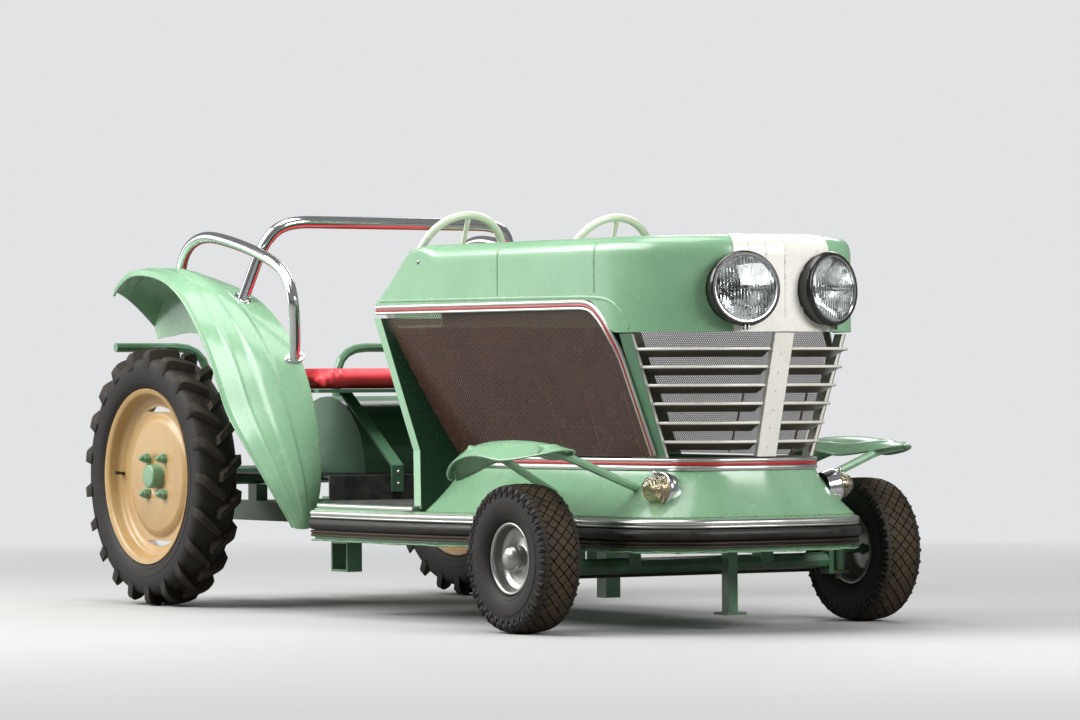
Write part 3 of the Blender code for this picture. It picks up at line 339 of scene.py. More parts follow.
def rounded(points: Floats, reach: float, steps: int = 6) -> Floats:
    """Polyline with each inner corner replaced by a parabolic arc.

    Args:
        points: the polyline, (n, 2) or (n, 3).
        reach: how far before a corner its arc starts.
        steps: pieces per arc.

    Returns:
        The rounded polyline.
    """
    pts = np.asarray(points, float)
    parts = [pts[:1]]
    f = np.linspace(0.0, 1.0, steps + 1)[:, None]
    for before, corner, after in zip(pts, pts[1:], pts[2:]):
        back, ahead = before - corner, after - corner
        lb, la = np.linalg.norm(back), np.linalg.norm(ahead)
        start = corner + back / lb * min(reach, 0.48 * lb)
        end = corner + ahead / la * min(reach, 0.48 * la)
        parts.append((1 - f) ** 2 * start + 2 * f * (1 - f) * corner + f**2 * end)
    parts.append(pts[-1:])
    return np.concatenate(parts)


# Finishes


def linear(hex_colour: str) -> tuple[float, float, float, float]:
    """Linear colour of an sRGB hex value: c / 12.92 below 0.04045, else ((c + 0.055) / 1.055) ^ 2.4."""
    parts = [int(hex_colour[k : k + 2], 16) / 255 for k in (1, 3, 5)]
    r, g, b = (c / 12.92 if c <= 0.04045 else ((c + 0.055) / 1.055) ** 2.4 for c in parts)
    return (r, g, b, 1.0)


def add(
    tree: bpy.types.NodeTree,
    kind: str,
    settings: dict[str, Any] | None = None,
    inputs: dict[Any, Any] | None = None,
) -> bpy.types.Node:
    """Add a node.

    Args:
        tree: the material's nodes.
        kind: node type.
        settings: its properties.
        inputs: socket name or number to a value, or to another node's output.

    Returns:
        The node.
    """
    node = tree.nodes.new(kind)
    for name, value in (settings or {}).items():
        setattr(node, name, value)
    for key, value in (inputs or {}).items():
        if isinstance(value, bpy.types.NodeSocket):
            tree.links.new(value, node.inputs[key])
        else:
            node.inputs[key].default_value = value
    return node


def per_mm(size: float) -> float:
    """Texture scale whose features are about this many millimetres across."""
    return 1000.0 / size


@dataclass
class Graph:
    """A material being built, with the few node patterns that the finishes share."""

    name: str
    material: bpy.types.Material = field(init=False)
    tree: bpy.types.NodeTree = field(init=False)
    place: bpy.types.NodeSocket = field(init=False)

    def __post_init__(self) -> None:
        """Start with an empty node tree and object coordinates."""
        self.material = bpy.data.materials.new(self.name)
        self.material.use_nodes = True
        self.tree = self.material.node_tree
        self.tree.nodes.clear()
        self.place = add(self.tree, "ShaderNodeTexCoord").outputs["Object"]

    def noise(self, size_mm: float, detail: float) -> Any:
        """Noise whose features are about this size, from 0 to 1."""
        inputs = {"Vector": self.place, "Scale": per_mm(size_mm), "Detail": detail, "Roughness": 0.55}
        return add(self.tree, "ShaderNodeTexNoise", None, inputs).outputs["Fac"]

    def maths(self, operation: str, a: Any, b: Any = 0.0, clamp: bool = False) -> Any:
        """One arithmetic step."""
        settings = {"operation": operation, "use_clamp": clamp}
        return add(self.tree, "ShaderNodeMath", settings, {0: a, 1: b}).outputs[0]

    def times(self, a: Any, b: Any) -> Any:
        """Product of two values."""
        return self.maths("MULTIPLY", a, b)

    def plus(self, a: Any, b: Any, clamp: bool = False) -> Any:
        """Sum of two values."""
        return self.maths("ADD", a, b, clamp)

    def step(self, value: Any, low: float, high: float) -> Any:
        """Map a value so that low gives 0 and high gives 1, clamped between."""
        inputs = {"Value": value, "From Min": low, "From Max": high}
        return add(self.tree, "ShaderNodeMapRange", {"clamp": True}, inputs).outputs["Result"]

    def mix(self, amount: Any, a: Any, b: Any) -> Any:
        """Blend of two colours."""
        settings = {"data_type": "RGBA"}
        return add(self.tree, "ShaderNodeMix", settings, {"Factor": amount, 6: a, 7: b}).outputs[2]

    def bump(self, height: Any, depth_mm: float, strength: float = 1.0, normal: Any = None) -> Any:
        """Bump of a given depth from a height between 0 and 1."""
        inputs = {"Height": height, "Strength": strength, "Distance": depth_mm / 1000.0}
        if normal is not None:
            inputs["Normal"] = normal
        return add(self.tree, "ShaderNodeBump", None, inputs).outputs["Normal"]

    def worn_edges(self, reach_mm: float) -> Any:
        """Value that rises from 0 on flats to 1 along sharp edges, from a rounded copy of the normal."""
        inputs = {"Radius": reach_mm / 1000.0}
        soft = add(self.tree, "ShaderNodeBevel", {"samples": 4}, inputs).outputs[0]
        true = add(self.tree, "ShaderNodeNewGeometry").outputs["Normal"]
        dot = add(self.tree, "ShaderNodeVectorMath", {"operation": "DOT_PRODUCT"}, {0: soft, 1: true})
        return self.maths("SUBTRACT", 1.0, dot.outputs["Value"], clamp=True)

    def length(self, vector: Any, along: tuple[float, float, float]) -> Any:
        """Length of a vector, counting only some of its directions."""
        flat = add(self.tree, "ShaderNodeVectorMath", {"operation": "MULTIPLY"}, {0: vector, 1: along})
        size = add(self.tree, "ShaderNodeVectorMath", {"operation": "LENGTH"}, {0: flat.outputs[0]})
        return size.outputs["Value"]

    def height_above_floor(self) -> Any:
        """The z coordinate in metres."""
        return add(self.tree, "ShaderNodeSeparateXYZ", None, {0: self.place}).outputs["Z"]

    def surface(self, **sockets: Any) -> bpy.types.Material:
        """Principled shader with the given sockets, spaces written as underscores; gives the material."""
        inputs = {key.replace("_", " "): value for key, value in sockets.items()}
        shader = add(self.tree, "ShaderNodeBsdfPrincipled", None, inputs)
        add(self.tree, "ShaderNodeOutputMaterial", None, {"Surface": shader.outputs[0]})
        return self.material


@dataclass(frozen=True)
class SprayedEnamel:
    """Gloss enamel sprayed on sheet steel: orange peel, faded patches, chips and rusted edges."""

    name: str
    colour: str
    faded: str
    chip: str = "#5A3A28"
    gloss: float = 0.26
    chips: float = 0.5
    grime: float = 0.35
    # Colour of painted shade, and the direction of the faces that take it.
    under: str = ""
    under_faces: tuple[float, float, float] = (0.0, 0.0, -1.0)

    def build(self) -> bpy.types.Material:
        """Make the material; with an under colour, the faces that look one way get painted shade in that
        colour.
        """
        g = Graph(self.name)
        patches = g.step(g.noise(220.0, 4.0), 0.38, 0.66)
        mottle = g.step(g.noise(9.0, 5.0), 0.3, 0.75)
        base = g.mix(patches, linear(self.colour), linear(self.faded))
        speck = linear("#4E6B56" if self.chips > 0.4 else "#6E6250")
        base = g.mix(g.times(mottle, 0.12), base, speck)
        dirt = g.times(g.step(g.height_above_floor(), 0.42, 0.05), self.grime)
        dirt = g.times(dirt, g.step(g.noise(60.0, 6.0), 0.35, 0.7))
        base = g.mix(dirt, base, linear("#3B352B"))
        # Painted shade: faces that look the given way darken, in patches, to the under colour.
        if self.under:
            normal = add(g.tree, "ShaderNodeNewGeometry").outputs["Normal"]
            facing = {0: normal, 1: self.under_faces}
            down = add(g.tree, "ShaderNodeVectorMath", {"operation": "DOT_PRODUCT"}, facing).outputs["Value"]
            down = g.times(g.step(down, 0.1, 0.5), g.step(g.noise(34.0, 5.0), 0.05, 0.32))
            base = g.mix(down, base, linear(self.under))
        edge = g.step(g.worn_edges(3.5), 0.01, 0.1)
        ragged = g.plus(g.noise(7.0, 6.0), g.times(edge, 0.2))
        chipped = g.step(ragged, 0.775 - 0.045 * self.chips, 0.8 - 0.045 * self.chips)
        spots = g.step(g.noise(16.0, 7.0), 0.775 - 0.02 * self.chips, 0.79 - 0.02 * self.chips)
        chipped = g.maths("MAXIMUM", chipped, spots)
        rust = g.mix(g.noise(4.0, 5.0), linear(self.chip), linear("#8C6A4C"))
        base = g.mix(chipped, base, rust)
        rough = g.plus(g.times(g.noise(45.0, 4.0), 0.16), self.gloss - 0.08)
        rough = g.plus(rough, g.times(chipped, 0.45), clamp=True)
        peel = g.bump(g.noise(3.2, 2.0), 0.04, 0.25)
        normal = g.bump(g.maths("SUBTRACT", 1.0, chipped), 0.18, 0.7, peel)
        return g.surface(
            Base_Color=base, Roughness=rough, Normal=normal, IOR=1.5, Coat_Weight=0.25, Coat_Roughness=0.12)


@dataclass(frozen=True)
class PlatedMetal:
    """Bright metal: chromium plate or bare steel, with fine pits and a hazy film."""

    name: str
    colour: str
    roughness: float = 0.1
    pits: float = 0.5

    def build(self) -> bpy.types.Material:
        """Make the material."""
        g = Graph(self.name)
        pits = g.times(g.step(g.noise(2.6, 6.0), 0.66, 0.74), self.pits)
        base = g.mix(pits, linear(self.colour), linear("#4A3526"))
        film = g.plus(g.times(g.noise(28.0, 4.0), 0.14), self.roughness - 0.05)
        rough = g.plus(film, g.times(pits, 0.4), clamp=True)
        return g.surface(Base_Color=base, Metallic=1.0, Roughness=rough, Normal=g.bump(pits, -0.06, 0.5))


@dataclass(frozen=True)
class MouldedRubber:
    """Vulcanised rubber: matt black, with dry dust where a tyre meets the road."""

    name: str
    colour: str = "#191817"
    dust: str = "#4B3D2C"
    centre: tuple[float, float, float] | None = None
    clean_radius: float = 0.0
    dusty_radius: float = 1.0
    roughness: float = 0.62

    def build(self) -> bpy.types.Material:
        """Make the material."""
        g = Graph(self.name)
        amount = g.step(g.noise(30.0, 6.0), 0.35, 0.75)
        if self.centre is not None:
            shift = tuple(-c for c in self.centre)
            local = add(g.tree, "ShaderNodeMapping", None, {"Vector": g.place, "Location": shift}).outputs[0]
            tread = g.step(g.length(local, (1.0, 0.0, 1.0)), self.clean_radius, self.dusty_radius)
            amount = g.plus(g.times(amount, 0.25), g.times(tread, 0.75))
            amount = g.times(amount, g.step(g.noise(14.0, 6.0), 0.25, 0.6))
        base = g.mix(g.times(amount, 0.75), linear(self.colour), linear(self.dust))
        rough = g.plus(g.times(amount, 0.3), self.roughness, clamp=True)
        normal = g.bump(g.noise(1.6, 3.0), 0.08, 0.5)
        return g.surface(Base_Color=base, Roughness=rough, Normal=normal, Specular_IOR_Level=0.4)


@dataclass(frozen=True)
class CoatedCloth:
    """Vinyl-coated upholstery cloth: leather grain, soft gloss, darker rubbed patches."""

    name: str
    colour: str
    rubbed: str

    def build(self) -> bpy.types.Material:
        """Make the material."""
        g = Graph(self.name)
        rub = g.step(g.noise(90.0, 5.0), 0.45, 0.72)
        base = g.mix(rub, linear(self.colour), linear(self.rubbed))
        inputs = {"Vector": g.place, "Scale": per_mm(1.6)}
        cells = add(g.tree, "ShaderNodeTexVoronoi", {"feature": "DISTANCE_TO_EDGE"},
                    inputs).outputs["Distance"]
        grain = g.bump(g.step(cells, 0.0, 0.25), 0.12, 0.5)
        normal = g.bump(g.noise(26.0, 3.0), 1.2, 0.35, grain)
        rough = g.plus(g.times(rub, 0.15), 0.34)
        return g.surface(Base_Color=base, Roughness=rough, Normal=normal)


@dataclass(frozen=True)
class PressedGlass:
    """Clear pressed glass."""

    name: str
    tint: str = "#F4F8F8"
    haze: float = 0.03

    def build(self) -> bpy.types.Material:
        """Make the material."""
        g = Graph(self.name)
        return g.surface(Base_Color=linear(self.tint), Roughness=self.haze, IOR=1.5, Transmission_Weight=1.0)


@dataclass(frozen=True)
class RibbedMat:
    """Extruded rubber matting: ribs 6 mm apart along the vehicle, worn and dusty."""

    name: str
    colour: str = "#26262A"

    def build(self) -> bpy.types.Material:
        """Make the material."""
        g = Graph(self.name)
        across = add(g.tree, "ShaderNodeSeparateXYZ", None, {0: g.place}).outputs["Y"]
        wave = g.maths("SINE", g.times(across, 2 * math.pi / 0.006))
        base = g.mix(g.step(g.noise(40.0, 6.0), 0.4, 0.75), linear(self.colour), linear("#55524C"))
        normal = g.bump(g.step(wave, -1.0, 1.0), 0.8, 0.6)
        return g.surface(Base_Color=base, Roughness=0.7, Normal=normal)


class Finishes:
    """Every finish on the tractor, built once."""

    def __init__(self) -> None:
        """Build them."""
        def enamel(name: str, colour: str, faded: str, chips: float, gloss: float, grime: float,
                   **rest: Any) -> bpy.types.Material:
            return SprayedEnamel(name, colour, faded, chips=chips, gloss=gloss, grime=grime, **rest).build()

        body = ("#7FAD86", "#8DB892", 0.6, 0.26, 0.35)
        ahead = (1.0, 0.0, 0.0)
        self.green = enamel("sprayed_green_enamel", *body)
        self.frame_green = enamel("chassis_green_enamel", "#3F6B4C", "#4F7C5B", 0.9, 0.45, 1.0)
        self.white = enamel("sprayed_white_enamel", "#F6F4EE", "#EBE7DC", 0.25, 0.3, 0.2)
        # The firewall's forward faces, in the shadow of the engine bay, get painted shade.
        self.firewall_green = enamel("firewall_green_enamel", *body, under="#1B3A26", under_faces=ahead)
        # A darker copy of the body green: painted shade for parts under the body, under the seat and beside
        # the grille.
        self.shaded_green = enamel("green_enamel_painted_shade", "#557F60", "#638E6D", 0.7, 0.35, 0.6)
        self.aged_glass = PressedGlass("aged_marker_glass", "#DCD2BC", 0.1).build()
        # The louvre blades' down-facing sides get painted shade.
        self.louvre_white = enamel("louvre_white_enamel", "#F0EDE6", "#E2DDD0", 0.3, 0.3, 0.2,
                                   under="#4A4036")
        self.cream = enamel("cream_wheel_enamel", "#BF9D69", "#B4915C", 0.35, 0.38, 0.25)
        self.ivory = enamel("moulded_ivory_plastic", "#E0E5D0", "#D2DAC2", 0.1, 0.3, 0.0)
        self.chrome = PlatedMetal("chromium_plate", "#D9DADB", 0.1, 0.35).build()
        self.trim = PlatedMetal("anodised_aluminium_trim", "#CFD1CB", 0.28, 0.35).build()
        self.steel = PlatedMetal("zinc_plated_steel", "#A6A4A1", 0.3, 0.3).build()
        self.reflector = PlatedMetal("silvered_reflector", "#EDEDED", 0.08, 0.05).build()
        self.enamel_black = enamel("black_stove_enamel", "#0C0C0C", "#161514", 0.1, 0.22, 0.1)
        self.strip_rubber = MouldedRubber("extruded_strip_rubber", "#121212", "#3A342C",
                                          roughness=0.35).build()
        rear = (FRONT_AXLE_X + REAR_AXLE[0], 0.0, REAR_AXLE[2])
        front = (FRONT_AXLE_X, 0.0, FRONT_TYRE_Z)
        self.rear_rubber = MouldedRubber("tyre_rubber_rear", "#1B1A19", "#4A3E2F", rear, 0.262,
                                         0.292).build()
        self.front_rubber = MouldedRubber("tyre_rubber_front", "#151413", "#5E4B30", front, 0.1495,
                                          0.155).build()
        self.vinyl = CoatedCloth("red_vinyl_cloth", "#F2414B", "#E0353F").build()
        self.red_strip = enamel("red_strip_enamel", "#B8202C", "#A31C26", 0.2, 0.35, 0.1)
        self.glass = PressedGlass("pressed_lamp_glass").build()
        self.mesh_steel = enamel("rusted_expanded_steel", "#461D0F", "#542817", 0.4, 0.6, 0.35,
                                 chip="#2A1813")
        self.hub_green = enamel("hub_green_enamel", "#6F9873", "#7FA883", 0.5, 0.3, 0.1)
        self.olive = enamel("olive_ledge_enamel", "#5B5E4C", "#66695A", 0.6, 0.45, 0.1)
        self.dark_strip = PlatedMetal("tarnished_aluminium_strip", "#5A5148", 0.38, 0.7).build()
        self.rusty_bar = enamel("rusty_stiffener", "#5E2A22", "#6E3328", 0.8, 0.6, 0.1)
        self.mat = RibbedMat("ribbed_rubber_matting").build()


# Tyres and other pieces


def two_walled(half: list[tuple[float, float]]) -> list[tuple[float, float]]:
    """Whole profile of a carcass from one wall, bead first and middle last."""
    return half + [(r, -w) for r, w in reversed(half[:-1])]


@dataclass
class LugTyre:
    """Rear tyre: carcass with sidewall rings, and bars that run from the middle over the shoulder."""

    side: Side
    lugs: int = 21
    tip_radius: float = 0.303
    bar_width: float = 0.019
    lean: float = 0.15

    def carcass(self) -> Floats:
        """Closed profile of the carcass turned round the axle."""
        half = [
            (0.1985, 0.0385), (0.2078, 0.0385), (0.209, 0.044), (0.213, 0.047), (0.218, 0.05),
            (0.2185, 0.0492),
            (0.2215, 0.0508), (0.235, 0.053), (0.2355, 0.0522), (0.248, 0.0535), (0.26, 0.053),
            (0.269, 0.05),
            (0.2755, 0.044), (0.279, 0.033), (0.281, 0.017), (0.2815, 0.0),
        ]
        return turned(two_walled(half), 96, self.side.rear_hub, self.side.out)

    def bars(self) -> tuple[Floats, Floats]:
        """Bars as (copies, corners, 3) and their faces.

        A bar starts just past the middle and leans back as it goes out; its top follows the tip radius
        and falls over the shoulder, and its sides slope down into the carcass.
        """
        s = np.array([0.0, 0.25, 0.5, 0.75, 0.92, 1.0, 1.0])
        w = np.array([-0.004, 0.01, 0.024, 0.038, 0.048, 0.0545, 0.0555])
        top = self.tip_radius - np.array([0.0, 0.0, 0.001, 0.003, 0.007, 0.016, 0.03])
        low = np.array([0.279, 0.279, 0.277, 0.272, 0.266, 0.26, 0.256])
        wide = self.bar_width * np.array([0.85, 0.95, 1.0, 1.15, 1.25, 1.2, 1.0]) / 2
        corners = []
        for radius, half in ((low, wide + 0.004), (top, wide), (top, -wide), (low, -wide - 0.004)):
            corners.append(np.stack([self.lean * s + half / self.tip_radius, radius, w], -1))
        bar = np.stack(corners, 1)
        rows, cols = bar.shape[:2]
        faces = lattice(rows, cols, wrap_cols=True)
        caps = np.array([[0, 1, 2, 3], [(rows - 1) * cols + k for k in (3, 2, 1, 0)]])
        faces = np.concatenate([faces, caps])
        pitch = 2 * math.pi / self.lugs
        copies = []
        for hand, offset in ((1.0, 0.0), (-1.0, 0.5)):
            turn = (np.arange(self.lugs) + offset) * pitch
            angle = bar[..., 0] + turn[:, None, None]
            copies.append(on_wheel(bar[..., 1], hand * bar[..., 2], angle).reshape(self.lugs, -1, 3))
        return np.concatenate(copies) + self.side.rear_hub, faces

    def build(self, finishes: Finishes) -> None:
        """Make the tyre in place of its CAD node."""
        shape = Shape().grid(self.carcass(), wrap_rows=True, wrap_cols=True).copies(*self.bars())
        word = self.side.word
        shape.piece(
            f"lug_tyre_{word}", "tyre_rubber", finishes.rear_rubber, node=f"rear_tyre_{word}",
            body=f"rear_wheel_{word}")


@dataclass
class BlockTyre:
    """Front tyre: seven interlocked rows of diamond blocks and short ribs down each shoulder."""

    side: Side
    around: int = 37
    rows: tuple[float, ...] = tuple(0.0125 * k for k in range(-3, 4))

    def crown(self, across: Floats) -> Floats:
        """Tread radius across the tyre: its height less 5 mm times (distance / 41 mm) to the power 2.6."""
        return FRONT_TYRE_Z - 0.005 * (np.abs(across) / 0.041) ** 2.6

    def carcass(self) -> Floats:
        """Closed profile of the carcass turned round the wheel's axis."""
        half = [
            (0.069, 0.0285), (0.0762, 0.0287), (0.0775, 0.034), (0.08, 0.038), (0.086, 0.0415),
            (0.0865, 0.0407),
            (0.09, 0.043), (0.1, 0.046), (0.112, 0.0472), (0.118, 0.047), (0.1185, 0.0461),
            (0.127, 0.0455),
            (0.138, 0.044), (0.144, 0.04), (0.1475, 0.032), (0.149, 0.016), (0.1495, 0.0),
        ]
        return turned(two_walled(half), 92, self.side.front_hub, self.side.out)

    def blocks(self) -> tuple[Floats, Floats]:
        """Diamond blocks, 22 mm by 20 mm with cut-off points, whose sides slope outwards to the foot."""
        turn = np.array([-1.0, -0.08, 0.08, 1.0, 0.08, -0.08]) * 0.0109
        wide = np.array([0.0, 1.0, 1.0, 0.0, -1.0, -1.0]) * 0.0102
        pitch = 2 * math.pi / self.around
        bodies = []
        for number, row in enumerate(self.rows):
            angles = (np.arange(self.around) + 0.5 * (number % 2)) * pitch
            rings = []
            for grow, sink in ((1.16, 0.0085), (1.0, 0.0)):
                across = row + wide * grow
                radius = self.crown(across) - sink
                angle = angles[:, None] + turn * grow / FRONT_TYRE_Z
                rings.append(on_wheel(radius, across, angle))
            bodies.append(np.concatenate(rings, 1))
        sides = [[k, (k + 1) % 6, 6 + (k + 1) % 6, 6 + k] for k in range(6)]
        tops = [[6, 7, 8, 9], [9, 10, 11, 6]]
        return np.concatenate(bodies) + self.side.front_hub, np.array(sides + tops)

    def shoulder_ribs(self) -> tuple[Floats, Floats]:
        """Ribs over both shoulders, every other one reaching further down the wall."""
        pitch = 2 * math.pi / self.around
        turn = np.array([-1.0, 1.0, 1.0, -1.0]) * 0.0048 / 0.15
        copies = []
        for hand in (1.0, -1.0):
            for phase, foot in ((0.0, 0.1265), (0.5, 0.1345)):
                angles = (np.arange(self.around) + phase) * pitch
                outline = [(0.1525, 0.035), (0.15, 0.0425), (0.144, 0.0462), (foot + 0.004, 0.0474),
                           (foot, 0.0455)]
                inner = [(0.144, 0.035), (0.143, 0.039), (0.14, 0.042), (foot + 0.004, 0.044),
                         (foot, 0.0445)]
                rings = []
                for (ro, wo), (ri, wi) in zip(outline, inner):
                    radius = np.array([ro, ro, ri, ri])
                    across = hand * np.array([wo, wo, wi, wi])
                    angle = angles[:, None] + turn
                    rings.append(on_wheel(radius, across, angle))
                copies.append(np.concatenate(rings, 1))
        faces = np.concatenate([lattice(5, 4, wrap_cols=True), np.array([[0, 1, 2, 3], [19, 18, 17, 16]])])
        return np.concatenate(copies) + self.side.front_hub, faces

    def build(self, finishes: Finishes) -> None:
        """Make the tyre in place of its CAD node."""
        shape = Shape().grid(self.carcass(), wrap_rows=True, wrap_cols=True)
        shape.copies(*self.blocks()).copies(*self.shoulder_ribs())
        word = self.side.word
        shape.piece(
            f"block_tyre_{word}", "tyre_rubber", finishes.front_rubber, node=f"front_tyre_{word}",
            body=f"front_wheel_{word}")


def nose_plan(half_width: float, radius: float, side: Floats, crease: float = 0.004) -> tuple[Floats,
                                                                                              Floats]:
    """Plan of a band round the nose, from the rear right round to the rear left.

    The sides run forward to the arc's start, a quarter circle turns them inwards, and the front is flat
    apart from a small crease in the middle.

    Args:
        half_width: half width where the arcs start.
        radius: radius of the arcs.
        side: stations and half widths behind the arcs, (n, 2).
        crease: how far the middle stands out.

    Returns:
        Points (n, 2) and unit outward directions (n, 2).
    """
    turn = np.linspace(0.0, math.pi / 2, 25)
    arc = np.stack([ARC_X + radius * np.sin(turn), half_width - radius * (1 - np.cos(turn))], -1)
    arc_out = np.stack([np.sin(turn), np.cos(turn)], -1)
    f = np.linspace(0.0, 1.0, 9)[1:]
    front = np.stack([ARC_X + radius + crease * f, (half_width - radius) * (1 - f)], -1)
    right = np.concatenate([side, arc, front])
    side_out = np.broadcast_to([0.08, 1.0], side.shape)
    out = np.concatenate([side_out, arc_out, np.broadcast_to([1.0, 0.0], front.shape)])
    out = unit(out)
    mirror = np.array([1.0, -1.0])
    return np.concatenate([right * mirror, right[-2::-1]]), np.concatenate([out * mirror, out[-2::-1]])


def carried(plan: tuple[Floats, Floats], section: Sequence[tuple[float, float]]) -> Floats:
    """Section of (outwards, height) points carried round a plan, as rings (n, k, 3)."""
    points, out = plan
    ring = np.asarray(section, float)
    flat = points[:, None] + ring[None, :, :1] * out[:, None]
    height = np.broadcast_to(ring[None, :, 1:], flat.shape[:2] + (1,))
    return np.concatenate([flat, height], -1)


def bead(low: float, high: float, base: float, depth: float, steps: int = 8) -> list[tuple[float, float]]:
    """Half-round outline of a raised bead.

    Args:
        low: where the bead starts across the section.
        high: where it ends.
        base: height of its foot.
        depth: height of its crown over the foot.
        steps: pieces of the outline.

    Returns:
        Points (height, place).
    """
    turn = np.linspace(0.0, math.pi, steps + 1)
    place = (low + high) / 2 - (high - low) / 2 * np.cos(turn)
    return [(float(base + depth * s), float(p)) for s, p in zip(np.sin(turn), place)]


@dataclass
class Drape:
    """Lays points on the surface of a CAD node or of an added piece."""

    node: str
    tree: BVHTree = field(init=False)

    def __post_init__(self) -> None:
        """Read the surface."""
        obj = bpy.data.objects[self.node]
        points = [obj.matrix_world @ v.co for v in obj.data.vertices]
        self.tree = BVHTree.FromPolygons(points, [tuple(p.vertices) for p in obj.data.polygons])

    def lay(self, starts: Floats, direction: Sequence[float]) -> tuple[Floats, Floats]:
        """Where rays from the starts first meet the surface.

        Args:
            starts: ray origins in station coordinates, (n, 3).
            direction: unit direction of all rays.

        Returns:
            Points (m, 3) and outward normals (m, 3) of the rays that hit.
        """
        points, normals = [], []
        for start in np.asarray(starts, float):
            hit, normal, _, _ = self.tree.ray_cast(Vector(start + SHIFT), Vector(direction))
            if hit is not None:
                points.append(np.array(hit) - SHIFT)
                normals.append(np.array(normal) * (-1.0 if normal.dot(Vector(direction)) > 0 else 1.0))
        return np.array(points), np.array(normals)


def bolt(centre: Floats, axis: Floats, radius: float, height: float) -> Floats:
    """Domed screw or rivet head on a surface, as a grid to be closed over its columns."""
    turn = np.linspace(0.0, math.pi / 2, 5)
    profile = [(0.0, -0.001), (radius, -0.001)]
    profile += [(radius * math.cos(t), height * math.sin(t)) for t in turn]
    return turned(profile, 16, centre, axis)


def belt_half(x: Floats) -> Floats:
    """Half width of the body at the belt, behind the arcs."""
    return BELT_W + (ARC_X - x) * BELT_TAPER


def sill_half(x: Floats) -> Floats:
    """Half width of the sill behind the arcs: it widens along a quarter sine."""
    return SILL_W + SILL_SPREAD * np.sin(math.pi / 2 * np.clip(-x / SILL_RUN, 0.0, 1.0))


def sill_plan(end: float, count: int) -> tuple[Floats, Floats]:
    """Plan round the nose at the sill, whose sides end this far behind the arcs."""
    stations = np.linspace(-0.95, ARC_X - end, count)
    return nose_plan(SILL_W, SILL_R, np.stack([stations, sill_half(stations)], -1))


@dataclass
class Bands:
    """Belt round the nose, side trims, and the strips along the sill."""

    finishes: Finishes

    def belt(self) -> None:
        """Silver moulding with a wide lower bead, a narrow upper lip and a red strip between them."""
        stations = np.linspace(-0.545, ARC_X - 0.02, 14)
        side = np.stack([stations, belt_half(stations)], -1)
        plan = nose_plan(BELT_W, BELT_R, side)
        silver = [(-0.0055, 0.3346), (0.0022, 0.3346)]
        silver += bead(0.335, 0.344, 0.0024, 0.0016) + [(0.0018, 0.3446), (0.0018, 0.3522)]
        silver += bead(0.3528, 0.3592, 0.0022, 0.0016) + [(-0.0055, 0.3594)]
        shape = Shape().solid(carried(plan, silver))
        shape.piece("belt_moulding", "silver_trim", self.finishes.trim, node="belt_trim")
        red = [(0.0019, 0.3447)] + bead(0.345, 0.352, 0.0024, 0.0012) + [(0.0019, 0.3521)]
        shape = Shape().solid(carried(plan, red))
        shape.piece("belt_red_strip", "red_vinyl", self.finishes.red_strip)
        nose = nose_plan(BELT_W, BELT_R, side[-2:])
        ledge = [(-0.006, 0.3595), (-0.006, 0.3612), (-0.04, 0.3612), (-0.04, 0.3595)]
        shape = Shape().solid(carried(nose, ledge))
        shape.piece("grille_ledge", "green_paint", self.finishes.olive)

    def side_trim(self, side: Side) -> None:
        """Three beads round a side panel: silver outside, red, and a silver lip on the panel's side."""
        route = np.array([
            (-0.751, 0.3385, 0.679), (-0.36, 0.3125, 0.679), (0.0, 0.287, 0.679), (0.03, 0.2852, 0.674),
            (0.062, 0.2825, 0.65), (0.09, 0.278, 0.615), (0.112, 0.268, 0.577), (0.1265, 0.195, 0.3665),
        ])
        path = rounded(route, 0.03, 6)
        path[:, 1] *= side.value
        hand = -side.value
        out = side.out
        silver = [(-0.0004, -0.0118)] + bead(-0.0116, -0.0031, 0.0012, 0.003) + [(0.0012, -0.0028)]
        silver += [(0.0012, 0.0028)] + bead(0.0031, 0.0096, 0.0012, 0.0026) + [(-0.0004, 0.0098)]
        red = [(0.001, -0.0029)] + bead(-0.0028, 0.0028, 0.0018, 0.0018) + [(0.001, 0.0029)]
        for colour, section, slot, finish, node in (
            ("silver", silver, "silver_trim", self.finishes.trim, f"side_trim_{side.word}"),
            ("red", red, "red_vinyl", self.finishes.red_strip, ""),
        ):
            shape = Shape().solid(swept(path, np.array(section) * np.array([1.0, hand]), out))
            shape.piece(f"panel_{colour}_{side.word}", slot, finish, node=node)

    def sill_strips(self) -> None:
        """Ribbed silver band, glossy half-round rubber, and a dark double ridge under it."""
        plan = sill_plan(0.02, 30)
        silver = [(0.0007, 0.2175)] + bead(0.218, 0.2235, 0.0085, 0.0025, 5)
        silver += bead(0.224, 0.233, 0.01, 0.0022, 6) + [(0.0075, 0.2356), (0.0007, 0.2358)]
        dark = [(0.0007, 0.1765)] + bead(0.1768, 0.1835, 0.007, 0.004, 5)
        dark += bead(0.1845, 0.1915, 0.007, 0.0045, 5) + [(0.0007, 0.1918)]
        rubber = [(0.0046, 0.1925)] + bead(0.1926, 0.217, 0.005, 0.0118, 12) + [(0.0046, 0.2171)]
        for name, section, slot, finish, node in (
            ("sill_silver_band", silver, "silver_trim", self.finishes.trim, "bumper_channel"),
            ("sill_dark_ridges", dark, "silver_trim", self.finishes.dark_strip, ""),
            ("sill_bumper_rubber", rubber, "black_rubber", self.finishes.strip_rubber, "bumper_rubber"),
        ):
            Shape().solid(carried(plan, section)).piece(name, slot, finish, node=node)

    def build(self) -> None:
        """Make every band."""
        self.belt()
        self.sill_strips()
        for side in Side:
            self.side_trim(side)


